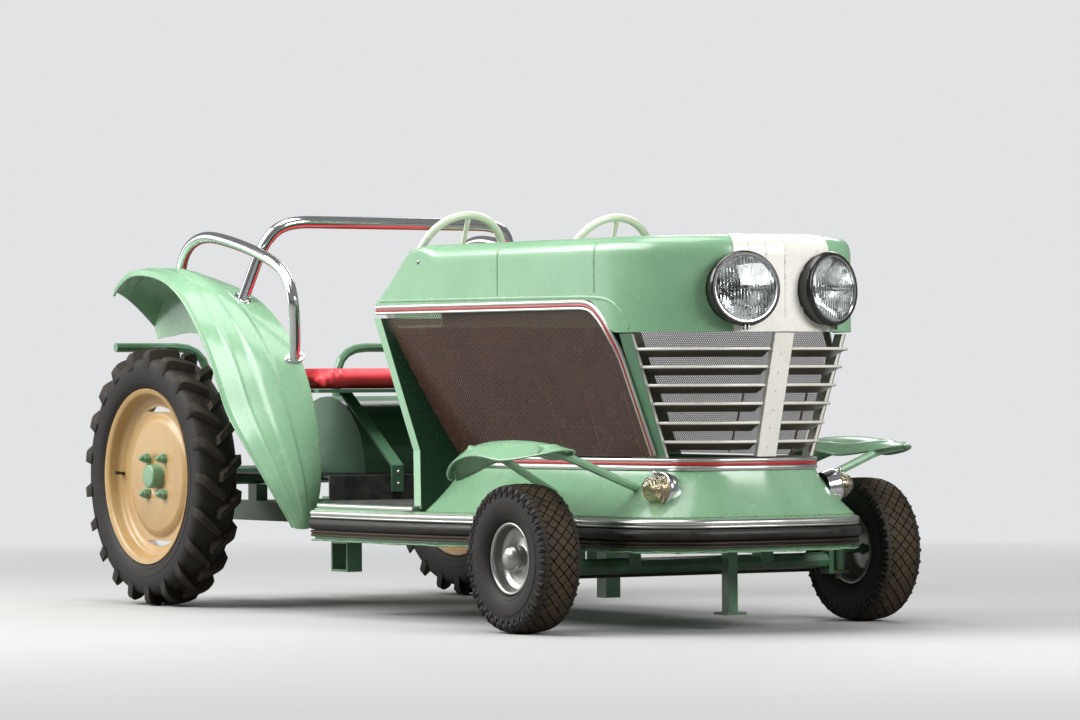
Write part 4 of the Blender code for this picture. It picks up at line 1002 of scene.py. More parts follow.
@dataclass
class MeshPanel:
    """Side panel of expanded steel: zigzag strands that touch their neighbours at each turn."""

    side: Side
    half_cell: float = 0.0042
    row_pitch: float = 0.0042
    strand: float = 0.0024

    def half_width(self, x: Floats, z: float) -> Floats:
        """Half width of the panel's outer face: it widens with height and towards the cockpit."""
        rise = (z - 0.3615) / 0.308
        return 0.187 + 0.091 * (1 - (1 - rise) ** 1.25) + (0.121 - x) * (0.089 - 0.032 * rise)

    def strands(self) -> Shape:
        """Each strand swings half a row up and down at every half cell; its section is a flat triangle."""
        shape = Shape()
        heights = np.arange(0.3645, 0.669, self.row_pitch)
        front_z = (0.3615, 0.52, 0.59, 0.63, 0.655, 0.6695)
        front_x = (0.1195, 0.1195, 0.115, 0.084, 0.044, 0.0)
        for number, z in enumerate(heights):
            rear = -0.527 - 0.567 * (z - 0.25) + 0.0325
            first = math.ceil(rear / self.half_cell)
            last = math.floor(float(np.interp(z, front_z, front_x)) / self.half_cell)
            place = np.arange(first, last + 1)
            x = place * self.half_cell
            swing = np.where((place + number) % 2 == 0, 1.0, -1.0) * self.row_pitch * 0.46
            w = self.half_width(x, float(z))
            half = self.strand / 2
            rings = []
            for rise, depth in ((half, 0.0004), (-half, 0.0004), (0.0, 0.0018)):
                rings.append(np.stack([x, self.side.value * (w - depth), z + swing + rise], -1))
            shape.solid(np.stack(rings, 1))
        return shape

    def build(self, finishes: Finishes) -> None:
        """Make the panel in place of its CAD node, with the rusty stiffeners behind it."""
        word = self.side.word
        self.strands().piece(
            f"expanded_panel_{word}", "mesh_steel", finishes.mesh_steel, node=f"side_mesh_{word}")
        shape = Shape()
        for x in (-0.185, -0.056, 0.077):
            z = np.linspace(0.364, 0.5, 12)
            w = self.half_width(np.full_like(z, x), z) - 0.0021
            ring = [(0.0, -0.0028), (0.0, 0.0028), (-0.0012, 0.0028), (-0.0012, -0.0028)]
            rings = [np.stack([np.full_like(z, x + dx), self.side.value * (w + dw), z], -1) for dw,
                     dx in ring]
            shape.solid(np.stack(rings, 1))
        shape.piece(f"panel_stiffeners_{word}", "mesh_steel", finishes.rusty_bar)


@dataclass
class Headlamp:
    """Headlamp: black bezel, silver ring, silvered bowl with a black bulb and bar that paint a dark
    reflection, fluted lens and a clamp screw.
    """

    side: Side

    def axis(self) -> Floats:
        """Direction in which the lamp looks: splayed outwards and tipped up a little."""
        splay, tilt = math.radians(12.8), math.radians(3.0)
        level = math.cos(tilt)
        return np.array([math.cos(splay) * level, self.side.value * math.sin(splay) * level, math.sin(tilt)])

    def centre(self) -> Floats:
        """Middle of the lens's rim."""
        return np.array([0.338, self.side.value * 0.11, 0.7095])

    def lens(self, centre: Floats) -> Floats:
        """Domed lens: the front follows a shallow dome, and a wave across the lamp cuts vertical flutes.

        The flutes are 7 mm apart and 2 mm deep, and fade out over a smooth oval in the middle.
        """
        axis = self.axis()
        right = np.cross(UP, axis)
        right = unit(right)
        up = np.cross(axis, right)
        radius = np.concatenate([np.linspace(0.0, 0.066, 34), [0.0672]])
        turn = np.linspace(0, 2 * math.pi, 160, endpoint=False)
        across = radius[:, None] * np.cos(turn)
        rise = radius[:, None] * np.sin(turn)
        dome = 0.0108 - 0.0095 * (radius[:, None] / 0.067) ** 2.2
        oval = np.clip((across / 0.013) ** 2 + ((rise - 0.016) / 0.026) ** 2 - 0.8, 0.0, 0.6) / 0.6
        edge = np.clip((0.064 - radius[:, None]) / 0.004, 0.0, 1.0)
        flutes = 0.001 * np.cos(2 * math.pi * across / 0.007) * oval * edge
        layers = []
        for height in (np.broadcast_to(dome, across.shape), dome - 0.0034 + flutes):
            layers.append(across[..., None] * right + rise[..., None] * up + height[..., None] * axis)
        return centre + np.concatenate([layers[0], layers[1][::-1]])

    def build(self, finishes: Finishes) -> None:
        """Make the lamp's pieces."""
        word, axis, centre = self.side.word, self.axis(), self.centre()
        lens = Shape().grid(self.lens(centre), wrap_cols=True)
        lens.piece(f"fluted_lens_{word}", "lens_glass", finishes.glass, node=f"headlamp_lens_{word}")
        bezel = rounded([(0.0688, 0.0038), (0.07, 0.0063), (0.0745, 0.0055), (0.0778, -0.0004),
                         (0.0778, -0.0075), (0.0728, -0.0125), (0.07, -0.01)], 0.002, 3)
        shape = Shape().lathe(bezel, 96, centre, axis, ring=True)
        shape.piece(f"lamp_bezel_{word}", "black_enamel", finishes.enamel_black)
        ring = [(0.0655, 0.0032), (0.0668, 0.0056), (0.0694, 0.0058), (0.0694, 0.0023), (0.0672, 0.0002)]
        shape = Shape().lathe(ring, 96, centre, axis, ring=True)
        shape.piece(f"lamp_ring_{word}", "chrome", finishes.chrome)
        radius = np.linspace(0.006, 0.0665, 16)
        bowl = -0.045 + 0.042 * (radius / 0.0665) ** 2
        profile = list(zip(radius, bowl)) + list(zip(radius[::-1], bowl[::-1] - 0.0005))
        shape = Shape().lathe(profile, 72, centre, axis, ring=True)
        shape.piece(f"lamp_reflector_{word}", "chrome", finishes.reflector)
        # The bulb is black, and a black bar crosses the bowl in front of it: together they paint the dark
        # horizontal reflection of the horizon across the lamp.
        bulb = [(0.0, -0.044), (0.0045, -0.044), (0.0045, -0.034), (0.0058, -0.028), (0.0058, -0.022),
                (0.0035, -0.0175), (0.0, -0.0165)]
        shape = Shape().lathe(rounded(bulb, 0.002, 3), 24, centre, axis)
        level = np.cross(UP, axis)
        level = unit(level)
        middle = centre - 0.013 * axis - [0.0, 0.0, 0.002]
        path = middle + np.linspace(-0.056, 0.056, 9)[:, None] * level
        bar = rounded([(-0.0022, 0.0), (-0.0022, 0.0012), (0.0022, 0.0012), (0.0022, 0.0)], 0.0006, 3)
        shape.solid(swept(path, bar, UP))
        shape.piece(f"lamp_bulb_{word}", "black_enamel", finishes.enamel_black)
        down = np.array([0.0, 0.0, -1.0]) - axis * -axis[2]
        down = unit(down)
        cross = np.cross(axis, down)
        foot = centre + down * 0.08 - axis * 0.001
        shape = Shape()
        for shift in (-0.0042, 0.0042):
            spot = foot + cross * shift
            ring = [(0.006, -0.0012), (0.006, 0.0012), (-0.006, 0.0012), (-0.006, -0.0012)]
            ends = [spot + down * d for d in (-0.0045, 0.005)]
            shape.solid(np.array([[end + axis * a + cross * c for a, c in ring] for end in ends]))
        screw = [(0.0, -0.01), (0.0022, -0.01), (0.0022, 0.0068), (0.004, 0.0068), (0.0036, 0.0098),
                 (0.0, 0.0102)]
        shape.lathe(screw, 16, foot, cross)
        shape.piece(f"lamp_clamp_{word}", "steel", finishes.steel)


@dataclass
class MarkerLamp:
    """Cone-shaped marker lamp: chromed ring, ringed clear cone, bright socket inside, a ball on a stem."""

    side: Side

    def build(self, finishes: Finishes) -> None:
        """Make the lamp in place of its CAD node."""
        word = self.side.word
        axis = np.array([0.1, self.side.value, 0.12])
        axis = unit(axis)
        base = np.array([0.188, self.side.value * 0.216, 0.296])
        ring = rounded([(0.0, -0.001), (0.033, -0.001), (0.033, -0.024), (0.0378, -0.001),
                        (0.0382, 0.0035),
                        (0.0362, 0.008), (0.032, 0.0082), (0.0315, 0.002), (0.0, 0.002)], 0.0012, 3)
        shape = Shape().lathe(ring, 64, base, axis)
        shape.piece(f"marker_ring_{word}", "chrome", finishes.chrome, node=f"side_lamp_{word}")
        t = np.sin(np.linspace(0.0, math.pi / 2, 70))
        height = 0.004 + 0.048 * t
        radius = 0.0302 * np.maximum(0.0, 1.0 - t**2.3) ** 0.62
        ripple = 0.0007 * np.cos(2 * math.pi * height / 0.0052) * np.clip((1.0 - t) / 0.15, 0.0, 1.0)
        shell = turned(np.stack([radius * (1 + 22 * ripple), height + ripple], -1), 72, base, axis)
        inner = turned(np.stack([radius * 0.9, height - 0.0022], -1), 72, base, axis)
        shape = Shape().grid(np.concatenate([shell, inner[::-1]]), wrap_cols=True)
        shape.grid(np.stack([shell[0], inner[0]]), wrap_cols=True)
        shape.piece(f"marker_lens_{word}", "lens_glass", finishes.aged_glass)
        bulb = rounded([(0.0, 0.0021), (0.027, 0.0021), (0.024, 0.006), (0.008, 0.008),
                        (0.008, 0.024),
                        (0.0, 0.029)], 0.003, 4)
        shape = Shape().lathe(bulb, 32, base, axis)
        shape.piece(f"marker_socket_{word}", "chrome", finishes.reflector)
        turn = np.linspace(0.0, math.pi, 12)
        ball = np.stack([0.0048 * np.sin(turn), -0.0048 * np.cos(turn)], -1)
        spot = base + 0.02 * axis + np.array([0.0, 0.0, 0.0335])
        shape = Shape().lathe(ball, 24, spot, axis)
        stem = [(0.0, -0.0215), (0.0022, -0.0215), (0.0022, -0.003), (0.0, -0.003)]
        shape.lathe(stem, 16, spot, axis)
        shape.piece(f"marker_finial_{word}", "chrome", finishes.chrome)


@dataclass
class GrilleDetails:
    """Green covers outside the corner posts, and six rivets down the middle post."""

    finishes: Finishes

    def build(self) -> None:
        """Make the covers and the rivets."""
        for side in Side:
            rings = []
            for z, w in ((0.3618, 0.1923), (0.49, 0.2353), (0.6175, 0.2781)):
                face = ((0.1255, w + 0.0002), (0.1615, w - 0.004), (0.1615, w - 0.0052),
                        (0.1255, w - 0.001))
                rings.append([(x, side.value * y, z) for x, y in face])
            shape = Shape().solid(np.array(rings))
            # The covers take the darker green as painted shade.
            shape.piece(f"post_cover_{side.word}", "green_paint", self.finishes.shaded_green)
        heights = np.array([0.5763, 0.5371, 0.4994, 0.4607, 0.4233, 0.3833])
        starts = np.stack([np.full(6, 0.8), np.zeros(6), heights], -1)
        spots, normals = Drape("grille_post").lay(starts, (-1.0, 0.0, 0.0))
        shape = Shape()
        for spot, normal in zip(spots, normals):
            shape.grid(bolt(spot, normal, 0.0036, 0.0016), wrap_cols=True)
        shape.piece("post_rivets", "white_paint", self.finishes.white)


@dataclass
class RearWheelDetails:
    """Pressed rear rim with its stepped disc and chord gaps, nuts on studs, hub and valve."""

    side: Side

    def rim(self) -> Floats:
        """Profile of the rim: rolled edge, drop centre, stepped disc that dips in the middle."""
        profile = [
            (0.206, 0.0452), (0.2068, 0.043), (0.206, 0.04), (0.1975, 0.0388), (0.197, 0.0),
            (0.1975, -0.0388),
            (0.206, -0.04), (0.2068, -0.043), (0.206, -0.0452), (0.193, -0.044), (0.1885, 0.006),
            (0.162, 0.0035), (0.14, 0.001), (0.128, 0.012), (0.06, 0.012), (0.04, 0.006),
            (0.015, 0.006), (0.015, 0.01), (0.04, 0.01), (0.05, 0.0158), (0.06, 0.0164),
            (0.1285, 0.0164), (0.139, 0.011), (0.144, 0.006), (0.156, 0.0075), (0.17, 0.008),
            (0.176, 0.013), (0.185, 0.015), (0.189, 0.02), (0.1925, 0.04), (0.199, 0.0435),
        ]
        return rounded([(r, h) for r, h in profile + profile[:1]], 0.004, 3)[:-1]

    def build(self, finishes: Finishes) -> None:
        """Make the rim in place of its CAD node, and the small parts on the disc."""
        word, hand = self.side.word, self.side.value
        axis, centre = self.side.out, self.side.rear_hub
        shape = Shape().lathe(self.rim(), 128, centre, axis, ring=True)
        obj = shape.piece(f"pressed_rim_{word}", "cream_paint", finishes.cream, body=f"rear_wheel_{word}")
        carve(obj, [self.gap(centre, tip) for tip in (1.0, -1.0)])
        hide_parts(f"rear_rim_{word}")
        hub = rounded([(0.0, 0.0402), (0.0248, 0.04), (0.0278, 0.0372), (0.0284, 0.012), (0.03, 0.0112),
                       (0.0, 0.0108)], 0.0018, 4)
        shape = Shape().lathe(hub, 48, centre, axis)
        shape.piece(
            f"wheel_hub_{word}", "green_paint", finishes.hub_green, node=f"rear_hub_{word}",
            body=f"rear_wheel_{word}")
        shape = Shape()
        for number in range(4):
            turn = math.pi / 4 + number * math.pi / 2
            spot = centre + 0.059 * np.array([math.cos(turn), 0.0, math.sin(turn)])
            washer = [(0.0, 0.016), (0.0135, 0.016), (0.0135, 0.0185), (0.0, 0.0186)]
            shape.lathe(washer, 24, spot, axis)
            hexagon = [(0.0, 0.0182), (0.0112, 0.0182), (0.0116, 0.0192), (0.0116, 0.0282), (0.0104, 0.0296),
                       (0.0, 0.0297)]
            shape.lathe(hexagon, 6, spot, axis)
            stud = rounded([(0.0, 0.029), (0.0068, 0.029), (0.0068, 0.035), (0.004, 0.0392),
                            (0.0, 0.04)], 0.002, 3)
            shape.lathe(stud, 16, spot, axis)
        shape.piece(f"wheel_nuts_{word}", "green_paint", finishes.hub_green, body=f"rear_wheel_{word}")
        root = centre + np.array([hand * 0.174, hand * 0.01, 0.004])
        lean = np.array([-hand * 0.25, hand, 0.1])
        stem = [(0.0, -0.004), (0.0045, -0.004), (0.004, 0.008), (0.0026, 0.01), (0.0026, 0.017),
                (0.004, 0.0172),
                (0.004, 0.026), (0.003, 0.0275), (0.0, 0.0276)]
        shape = Shape().lathe(stem, 20, root, lean)
        shape.piece(f"valve_{word}", "black_rubber", finishes.strip_rubber, body=f"rear_wheel_{word}")

    def gap(self, centre: Floats, tip: float) -> Shape:
        """Cutter of one gap: between a chord 152 mm from the axle and an arc of 163.5 mm."""
        turn = np.linspace(-0.375, 0.375, 17)
        arc = np.stack([0.1635 * np.sin(turn), 0.1635 * np.cos(turn)], -1)
        chord = np.stack([np.linspace(0.059, -0.059, 9), np.full(9, 0.1512)], -1)
        outline = np.concatenate([arc, chord[1:-1]])
        rings = []
        for depth in (-0.02, 0.03):
            y = np.full(len(outline), self.side.value * (REAR_TYRE_Y + depth))
            rings.append(np.stack([REAR_AXLE[0] + outline[:, 0], y, REAR_AXLE[2] + tip * outline[:, 1]], -1))
        return Shape().solid(np.array(rings))


def bake(obj: bpy.types.Object) -> None:
    """Make the shape with its modifiers the object's own mesh."""
    bpy.context.view_layer.update()
    result = bpy.data.meshes.new_from_object(obj.evaluated_get(bpy.context.evaluated_depsgraph_get()))
    obj.modifiers.clear()
    old, obj.data = obj.data, result
    bpy.data.meshes.remove(old)


def carve(obj: bpy.types.Object, cutters: list[Shape]) -> None:
    """Cut shapes out of a piece with exact booleans and keep the result as its mesh."""
    for cutter in cutters:
        mesh = cutter.mesh("cutter")
        tool = placed("cutter", mesh)
        boolean = obj.modifiers.new("cut", "BOOLEAN")
        boolean.operation, boolean.solver, boolean.object = "DIFFERENCE", "EXACT", tool
        bake(obj)
        bpy.data.objects.remove(tool)
        bpy.data.meshes.remove(mesh)
    obj.data.shade_smooth()
    obj.data.set_sharp_from_angle(angle=SHARP_ANGLE)


@dataclass
class FrontRim:
    """Small plated front rim: rolled edges, dished disc and domed cap."""

    side: Side

    def build(self, finishes: Finishes) -> None:
        """Make the rim in place of its CAD node."""
        word = self.side.word
        profile = [
            (0.0, 0.0458), (0.012, 0.0448), (0.0225, 0.04), (0.028, 0.031), (0.0288, 0.024),
            (0.0262, 0.022),
            (0.0262, 0.007), (0.042, 0.0042), (0.056, 0.006), (0.0648, 0.012), (0.0672, 0.03),
            (0.069, 0.0342), (0.0735, 0.0352), (0.0756, 0.0335), (0.075, 0.0296), (0.0688, 0.029),
            (0.0686, -0.029), (0.075, -0.0296), (0.0756, -0.0335), (0.0735, -0.035), (0.065, -0.033),
            (0.064, 0.005), (0.042, 0.0002), (0.0106, 0.0002), (0.0106, 0.03), (0.0, 0.03),
        ]
        shape = Shape().lathe(rounded(profile, 0.0022, 3), 96, self.side.front_hub, self.side.out)
        shape.piece(
            f"plated_rim_{word}", "steel", finishes.steel, node=f"front_rim_{word}",
            body=f"front_wheel_{word}")


@dataclass
class RearFender:
    """Rear fender in sheet steel: two pressed ridges along the crown, a rolled outer edge, an inner wall."""

    side: Side
    skin: float = 0.0028

    def rows(self) -> Floats:
        """Smooth curve through the fender's stations: angles, radii and half widths."""
        table = np.array([
            (112, 121, 0.473, 0.46, 0.415, 0.33, 0.378), (105, 110, 0.478, 0.47, 0.452, 0.33, 0.352),
            (97, 98, 0.485, 0.476, 0.456, 0.33, 0.34), (86, 86, 0.483, 0.48, 0.46, 0.33, 0.333),
            (75, 75, 0.48, 0.48, 0.47, 0.33, 0.33), (64, 64, 0.47, 0.48, 0.485, 0.33, 0.325),
            (53, 53, 0.452, 0.478, 0.507, 0.33, 0.322), (42, 42, 0.44, 0.475, 0.53, 0.33, 0.324),
            (31, 31, 0.434, 0.474, 0.556, 0.33, 0.332), (20, 20, 0.44, 0.47, 0.57, 0.33, 0.348),
            (9, 9, 0.48, 0.458, 0.576, 0.33, 0.38), (-2, -2, 0.537, 0.432, 0.577, 0.331, 0.43),
            (-11, -11, 0.583, 0.393, 0.566, 0.345, 0.5),
        ])
        ends = np.vstack([2 * table[0] - table[1], table, 2 * table[-1] - table[-2]])
        places = np.linspace(0, len(table) - 1, 97)
        at = np.minimum(places.astype(int), len(table) - 2)
        f = (places - at)[:, None]
        a, b, c, d = (ends[at + k] for k in range(4))
        return b + 0.5 * f * (c - a + f * (2 * a - 5 * b + 4 * c - d + f * (3 * (b - c) + d - a)))

    def surface(self, grow: float) -> Floats:
        """Skin grown outwards: lip, crown with a 14 mm bulge and its pressings, then down the inner wall.

        The crown carries a flat band 3 mm high between two soft steps, and a lower bell-shaped ridge nearer
        the outer edge; both fade out towards the ends of the fender.
        """
        rows = self.rows()
        f = np.linspace(0.0, 1.0, 81)
        out_deg, in_deg, r_out, w_out, r_in, w_in, r_wall = rows.T[:, :, None]
        ends = np.sin(np.linspace(0.0, math.pi, len(rows)))[:, None]
        step = 1 / (1 + np.exp(-(f - 0.4) / 0.01)) - 1 / (1 + np.exp(-(f - 0.62) / 0.01))
        ridge = (step + 0.5 * np.exp(-(((f - 0.2) / 0.022) ** 2))) * 0.003 * np.clip(ends * 4, 0, 1)
        radius = r_out + (r_in - r_out) * f + 0.014 * 4 * f * (1 - f) + ridge + grow
        width = w_out + (w_in - w_out) * f + grow * (1 - 2 * f)
        lip_r, lip_w = r_out - 0.012, w_out + 0.0015 + grow
        wall = np.linspace(0.0, 1.0, 8)[1:]
        wall_r = r_in + (r_wall - r_in) * wall
        wall_w = np.broadcast_to(w_in - grow, wall_r.shape)
        places = np.concatenate([[0.0], f, np.ones(7)])
        radius = np.concatenate([lip_r, radius, wall_r], 1)
        width = np.concatenate([lip_w, width, wall_w], 1)
        angle = np.radians(out_deg + (in_deg - out_deg) * places)
        return REAR_AXLE + on_wheel(radius, self.side.value * width, angle)

    def build(self, finishes: Finishes) -> None:
        """Make the fender in place of its CAD node, with a rolled wire along its outer edge."""
        word = self.side.word
        outer, inner = self.surface(0.0), self.surface(-self.skin)
        shape = Shape().skin(outer, inner)
        shape.piece(f"sheet_fender_{word}", "green_paint", finishes.green, node=f"rear_fender_{word}")
        edge = outer[:, 0]
        wire = Shape().solid(swept(edge, round_section(0.003, 10), self.side.out))
        wire.piece(f"fender_rolled_edge_{word}", "green_paint", finishes.green)


@dataclass
class Mudguard:
    """Front mudguard: oval crown with a pressed oval ridge, and a rolled rim round its edge."""

    side: Side

    def point(self, u: Floats, v: Floats) -> Floats:
        """Crown from u = -1 at the rear to 1 at the tip and v = -1 inside to 1 outside.

        The plan is a flat oval; the crown falls with the square of the distance from its middle, and the
        rear end curls down behind the wheel.
        """
        x = -0.0375 + np.where(u < 0, 0.2425, 0.2) * u
        half = 0.0655 * np.sqrt(np.maximum(0.006, 1.0 - np.abs(u) ** np.where(u < 0, 2.6, 2.0)))
        z = 0.399 - 0.423 * (x + 0.038) ** 2 - 0.45 * np.minimum(0.0, x + 0.1) ** 2
        z = z - 0.9 * np.minimum(0.0, x + 0.14) ** 2
        front = eased(u, -0.3, 0.3)
        z = z - (0.028 + 0.012 * front) * v * v * (1 - front + front * (half / 0.0655) ** 2)
        oval = np.sqrt(np.abs(u) ** 2.6 + np.abs(v) ** 2.4)
        z = z + 0.002 * np.exp(-(((oval - 0.66) / 0.055) ** 2))
        y = self.side.value * (0.43 + half * v)
        return np.stack(np.broadcast_arrays(x, y, z), -1)

    def build(self, finishes: Finishes) -> None:
        """Make the guard in place of its CAD node, with its two arms."""
        word, hand = self.side.word, self.side.value
        u = np.sin(np.linspace(-math.pi / 2, math.pi / 2, 81))
        v = np.linspace(-1.0, 1.0, 41)
        outer = self.point(u[:, None], v[None, :])
        inner = outer - np.array([0.0, 0.0, 0.0025])
        shape = Shape().skin(outer, inner)
        for x, base_y, base_z in ((0.105, 0.2215, 0.298), (-0.155, 0.26, 0.285)):
            spot = (x + 0.0375) / (0.2425 if x < -0.0375 else 0.2)
            head = float(self.point(np.array(spot), np.array(0.0))[2]) - 0.0125
            path = rounded([(x, hand * base_y, base_z), (x, hand * 0.405, head - 0.01),
                            (x, hand * 0.47, head)], 0.03, 6)
            shape.solid(swept(path, round_section(0.009, 8), AHEAD))
        shape.piece(f"oval_mudguard_{word}", "green_paint", finishes.green, node=f"mudguard_{word}")
        border = np.concatenate([outer[:, 0], outer[-1, 1:], outer[-2::-1, -1], outer[0, -2:0:-1]])
        border = border - np.array([0.0, 0.0, 0.0015])
        loop = np.concatenate([border, border[:1]])
        rim = Shape().grid(swept(loop, round_section(0.0024, 8), UP), wrap_cols=True)
        rim.piece(f"mudguard_rolled_rim_{word}", "green_paint", finishes.green)


@dataclass
class Seat:
    """Padded bench seat in red vinyl with a crumpled right front corner."""

    width: float = 0.64
    cap: float = 0.007

    def start(self) -> Floats:
        """Slab of the cushion, 6 mm smaller than its box: rings of a flat oval section from side to side.

        The section is a rounded box whose corners follow a superellipse, power 4.5 across and 3.2 up.
        """
        turn = np.linspace(0, 2 * math.pi, 72, endpoint=False)
        c, s = np.cos(turn), np.sin(turn)
        x = np.sign(c) * np.abs(c) ** (2 / 4.5) * 0.143
        z = np.sign(s) * np.abs(s) ** (2 / 3.2) * 0.0185
        places = np.linspace(-1.0, 1.0, 65)
        shrink = np.maximum((1.0 - np.abs(places) ** 26.0) ** (1 / 6.0), 0.3)
        rings = []
        for place, size in zip(places, shrink):
            y = np.full_like(x, place * (self.width / 2 - 0.005))
            rings.append(np.stack([-1.185 + x * (0.75 + 0.25 * size), y, 0.529 + z * size], -1))
        return np.array(rings)

    def inflate(self, obj: bpy.types.Object) -> None:
        """Remesh the slab, blow it up as cloth, cap how far each point goes, keep the result, smooth it."""
        remesh = obj.modifiers.new("voxels", "REMESH")
        remesh.mode, remesh.voxel_size = "VOXEL", 0.0055
        bake(obj)
        rest = np.array([v.co for v in obj.data.vertices])
        moved = rest
        cloth = obj.modifiers.new("cloth", "CLOTH")
        cloth.settings.use_pressure = True
        cloth.settings.uniform_pressure_force = 4.0
        cloth.settings.effector_weights.gravity = 0.0
        cloth.settings.quality = 6
        cloth.point_cache.frame_start, cloth.point_cache.frame_end = 1, 20
        for number in range(1, 21):
            bpy.context.scene.frame_set(number)
        shown = obj.evaluated_get(bpy.context.evaluated_depsgraph_get())
        moved = np.array([v.co for v in shown.data.vertices])
        obj.modifiers.clear()
        bpy.context.scene.frame_set(1)
        step = moved - rest
        length = np.linalg.norm(step, axis=1, keepdims=True)
        points = rest + step * np.minimum(1.0, self.cap / np.maximum(length, 1e-9))
        points = self.crumple(points)
        points[:, 0] = np.clip(points[:, 0], FRONT_AXLE_X - 1.3345, FRONT_AXLE_X - 1.0355)
        points[:, 1] = np.clip(points[:, 1], -0.3215, 0.3215)
        points[:, 2] = np.clip(points[:, 2], 0.5065, 0.553)
        obj.data.vertices.foreach_set("co", points.ravel())
        obj.modifiers.new("smooth", "SUBSURF").levels = 1
        obj.modifiers["smooth"].render_levels = 1
        bake(obj)
        obj.data.shade_smooth()

    def crumple(self, points: Floats) -> Floats:
        """Folds round the right front corner, and faint pulls along the front edge.

        A fold is a wave across the seat whose depth dies away with the distance from the corner.
        """
        x, y = points[:, 0] - FRONT_AXLE_X, points[:, 1]
        near = np.exp(-(((y + 0.315) / 0.055) ** 2) - ((x + 1.04) / 0.06) ** 2)
        fold = np.sin(y * 260.0 + x * 90.0) * 0.003 + np.sin(y * 95.0 - x * 150.0) * 0.003
        front = np.clip((x + 1.1) / 0.06, 0.0, 1.0)
        pulls = front * 0.0006 * np.sin(y * 61.0) * np.sin(y * 23.0 + 1.0)
        moved = points.copy()
        moved[:, 2] += near * fold + pulls - near * 0.0025
        moved[:, 0] -= near * np.abs(np.sin(y * 170.0)) * 0.007
        return moved

    def build(self, finishes: Finishes) -> None:
        """Make the cushion in place of its CAD node."""
        shape = Shape().solid(self.start())
        obj = shape.piece("padded_seat", "red_vinyl", finishes.vinyl)
        self.inflate(obj)
        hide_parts("seat_cushion")


def trimmed(path: Floats, drape: Drape, sink: float = 0.0016) -> Floats:
    """Cut the lower ends of a tube's path off where they enter a surface, a little below it.

    Each end is cut along the line from the first point more than 120 mm above it.
    """
    for _ in range(2):
        for k in range(1, len(path)):
            foot, above = path[0], path[k]
            if above[2] - foot[2] > 0.12:
                way = foot - above
                reach = np.linalg.norm(way)
                hit, _, _, far = drape.tree.ray_cast(Vector(above + SHIFT), Vector(way / reach))
                if hit is not None and far < reach + 0.2:
                    end = above + way / reach * (far + sink)
                    keep = [p for p in path[1:k] if p[2] > end[2] + 0.004]
                    path = np.concatenate([[end], np.array(keep).reshape(-1, 3), path[k:]])
                    break
        path = path[::-1]
    return path


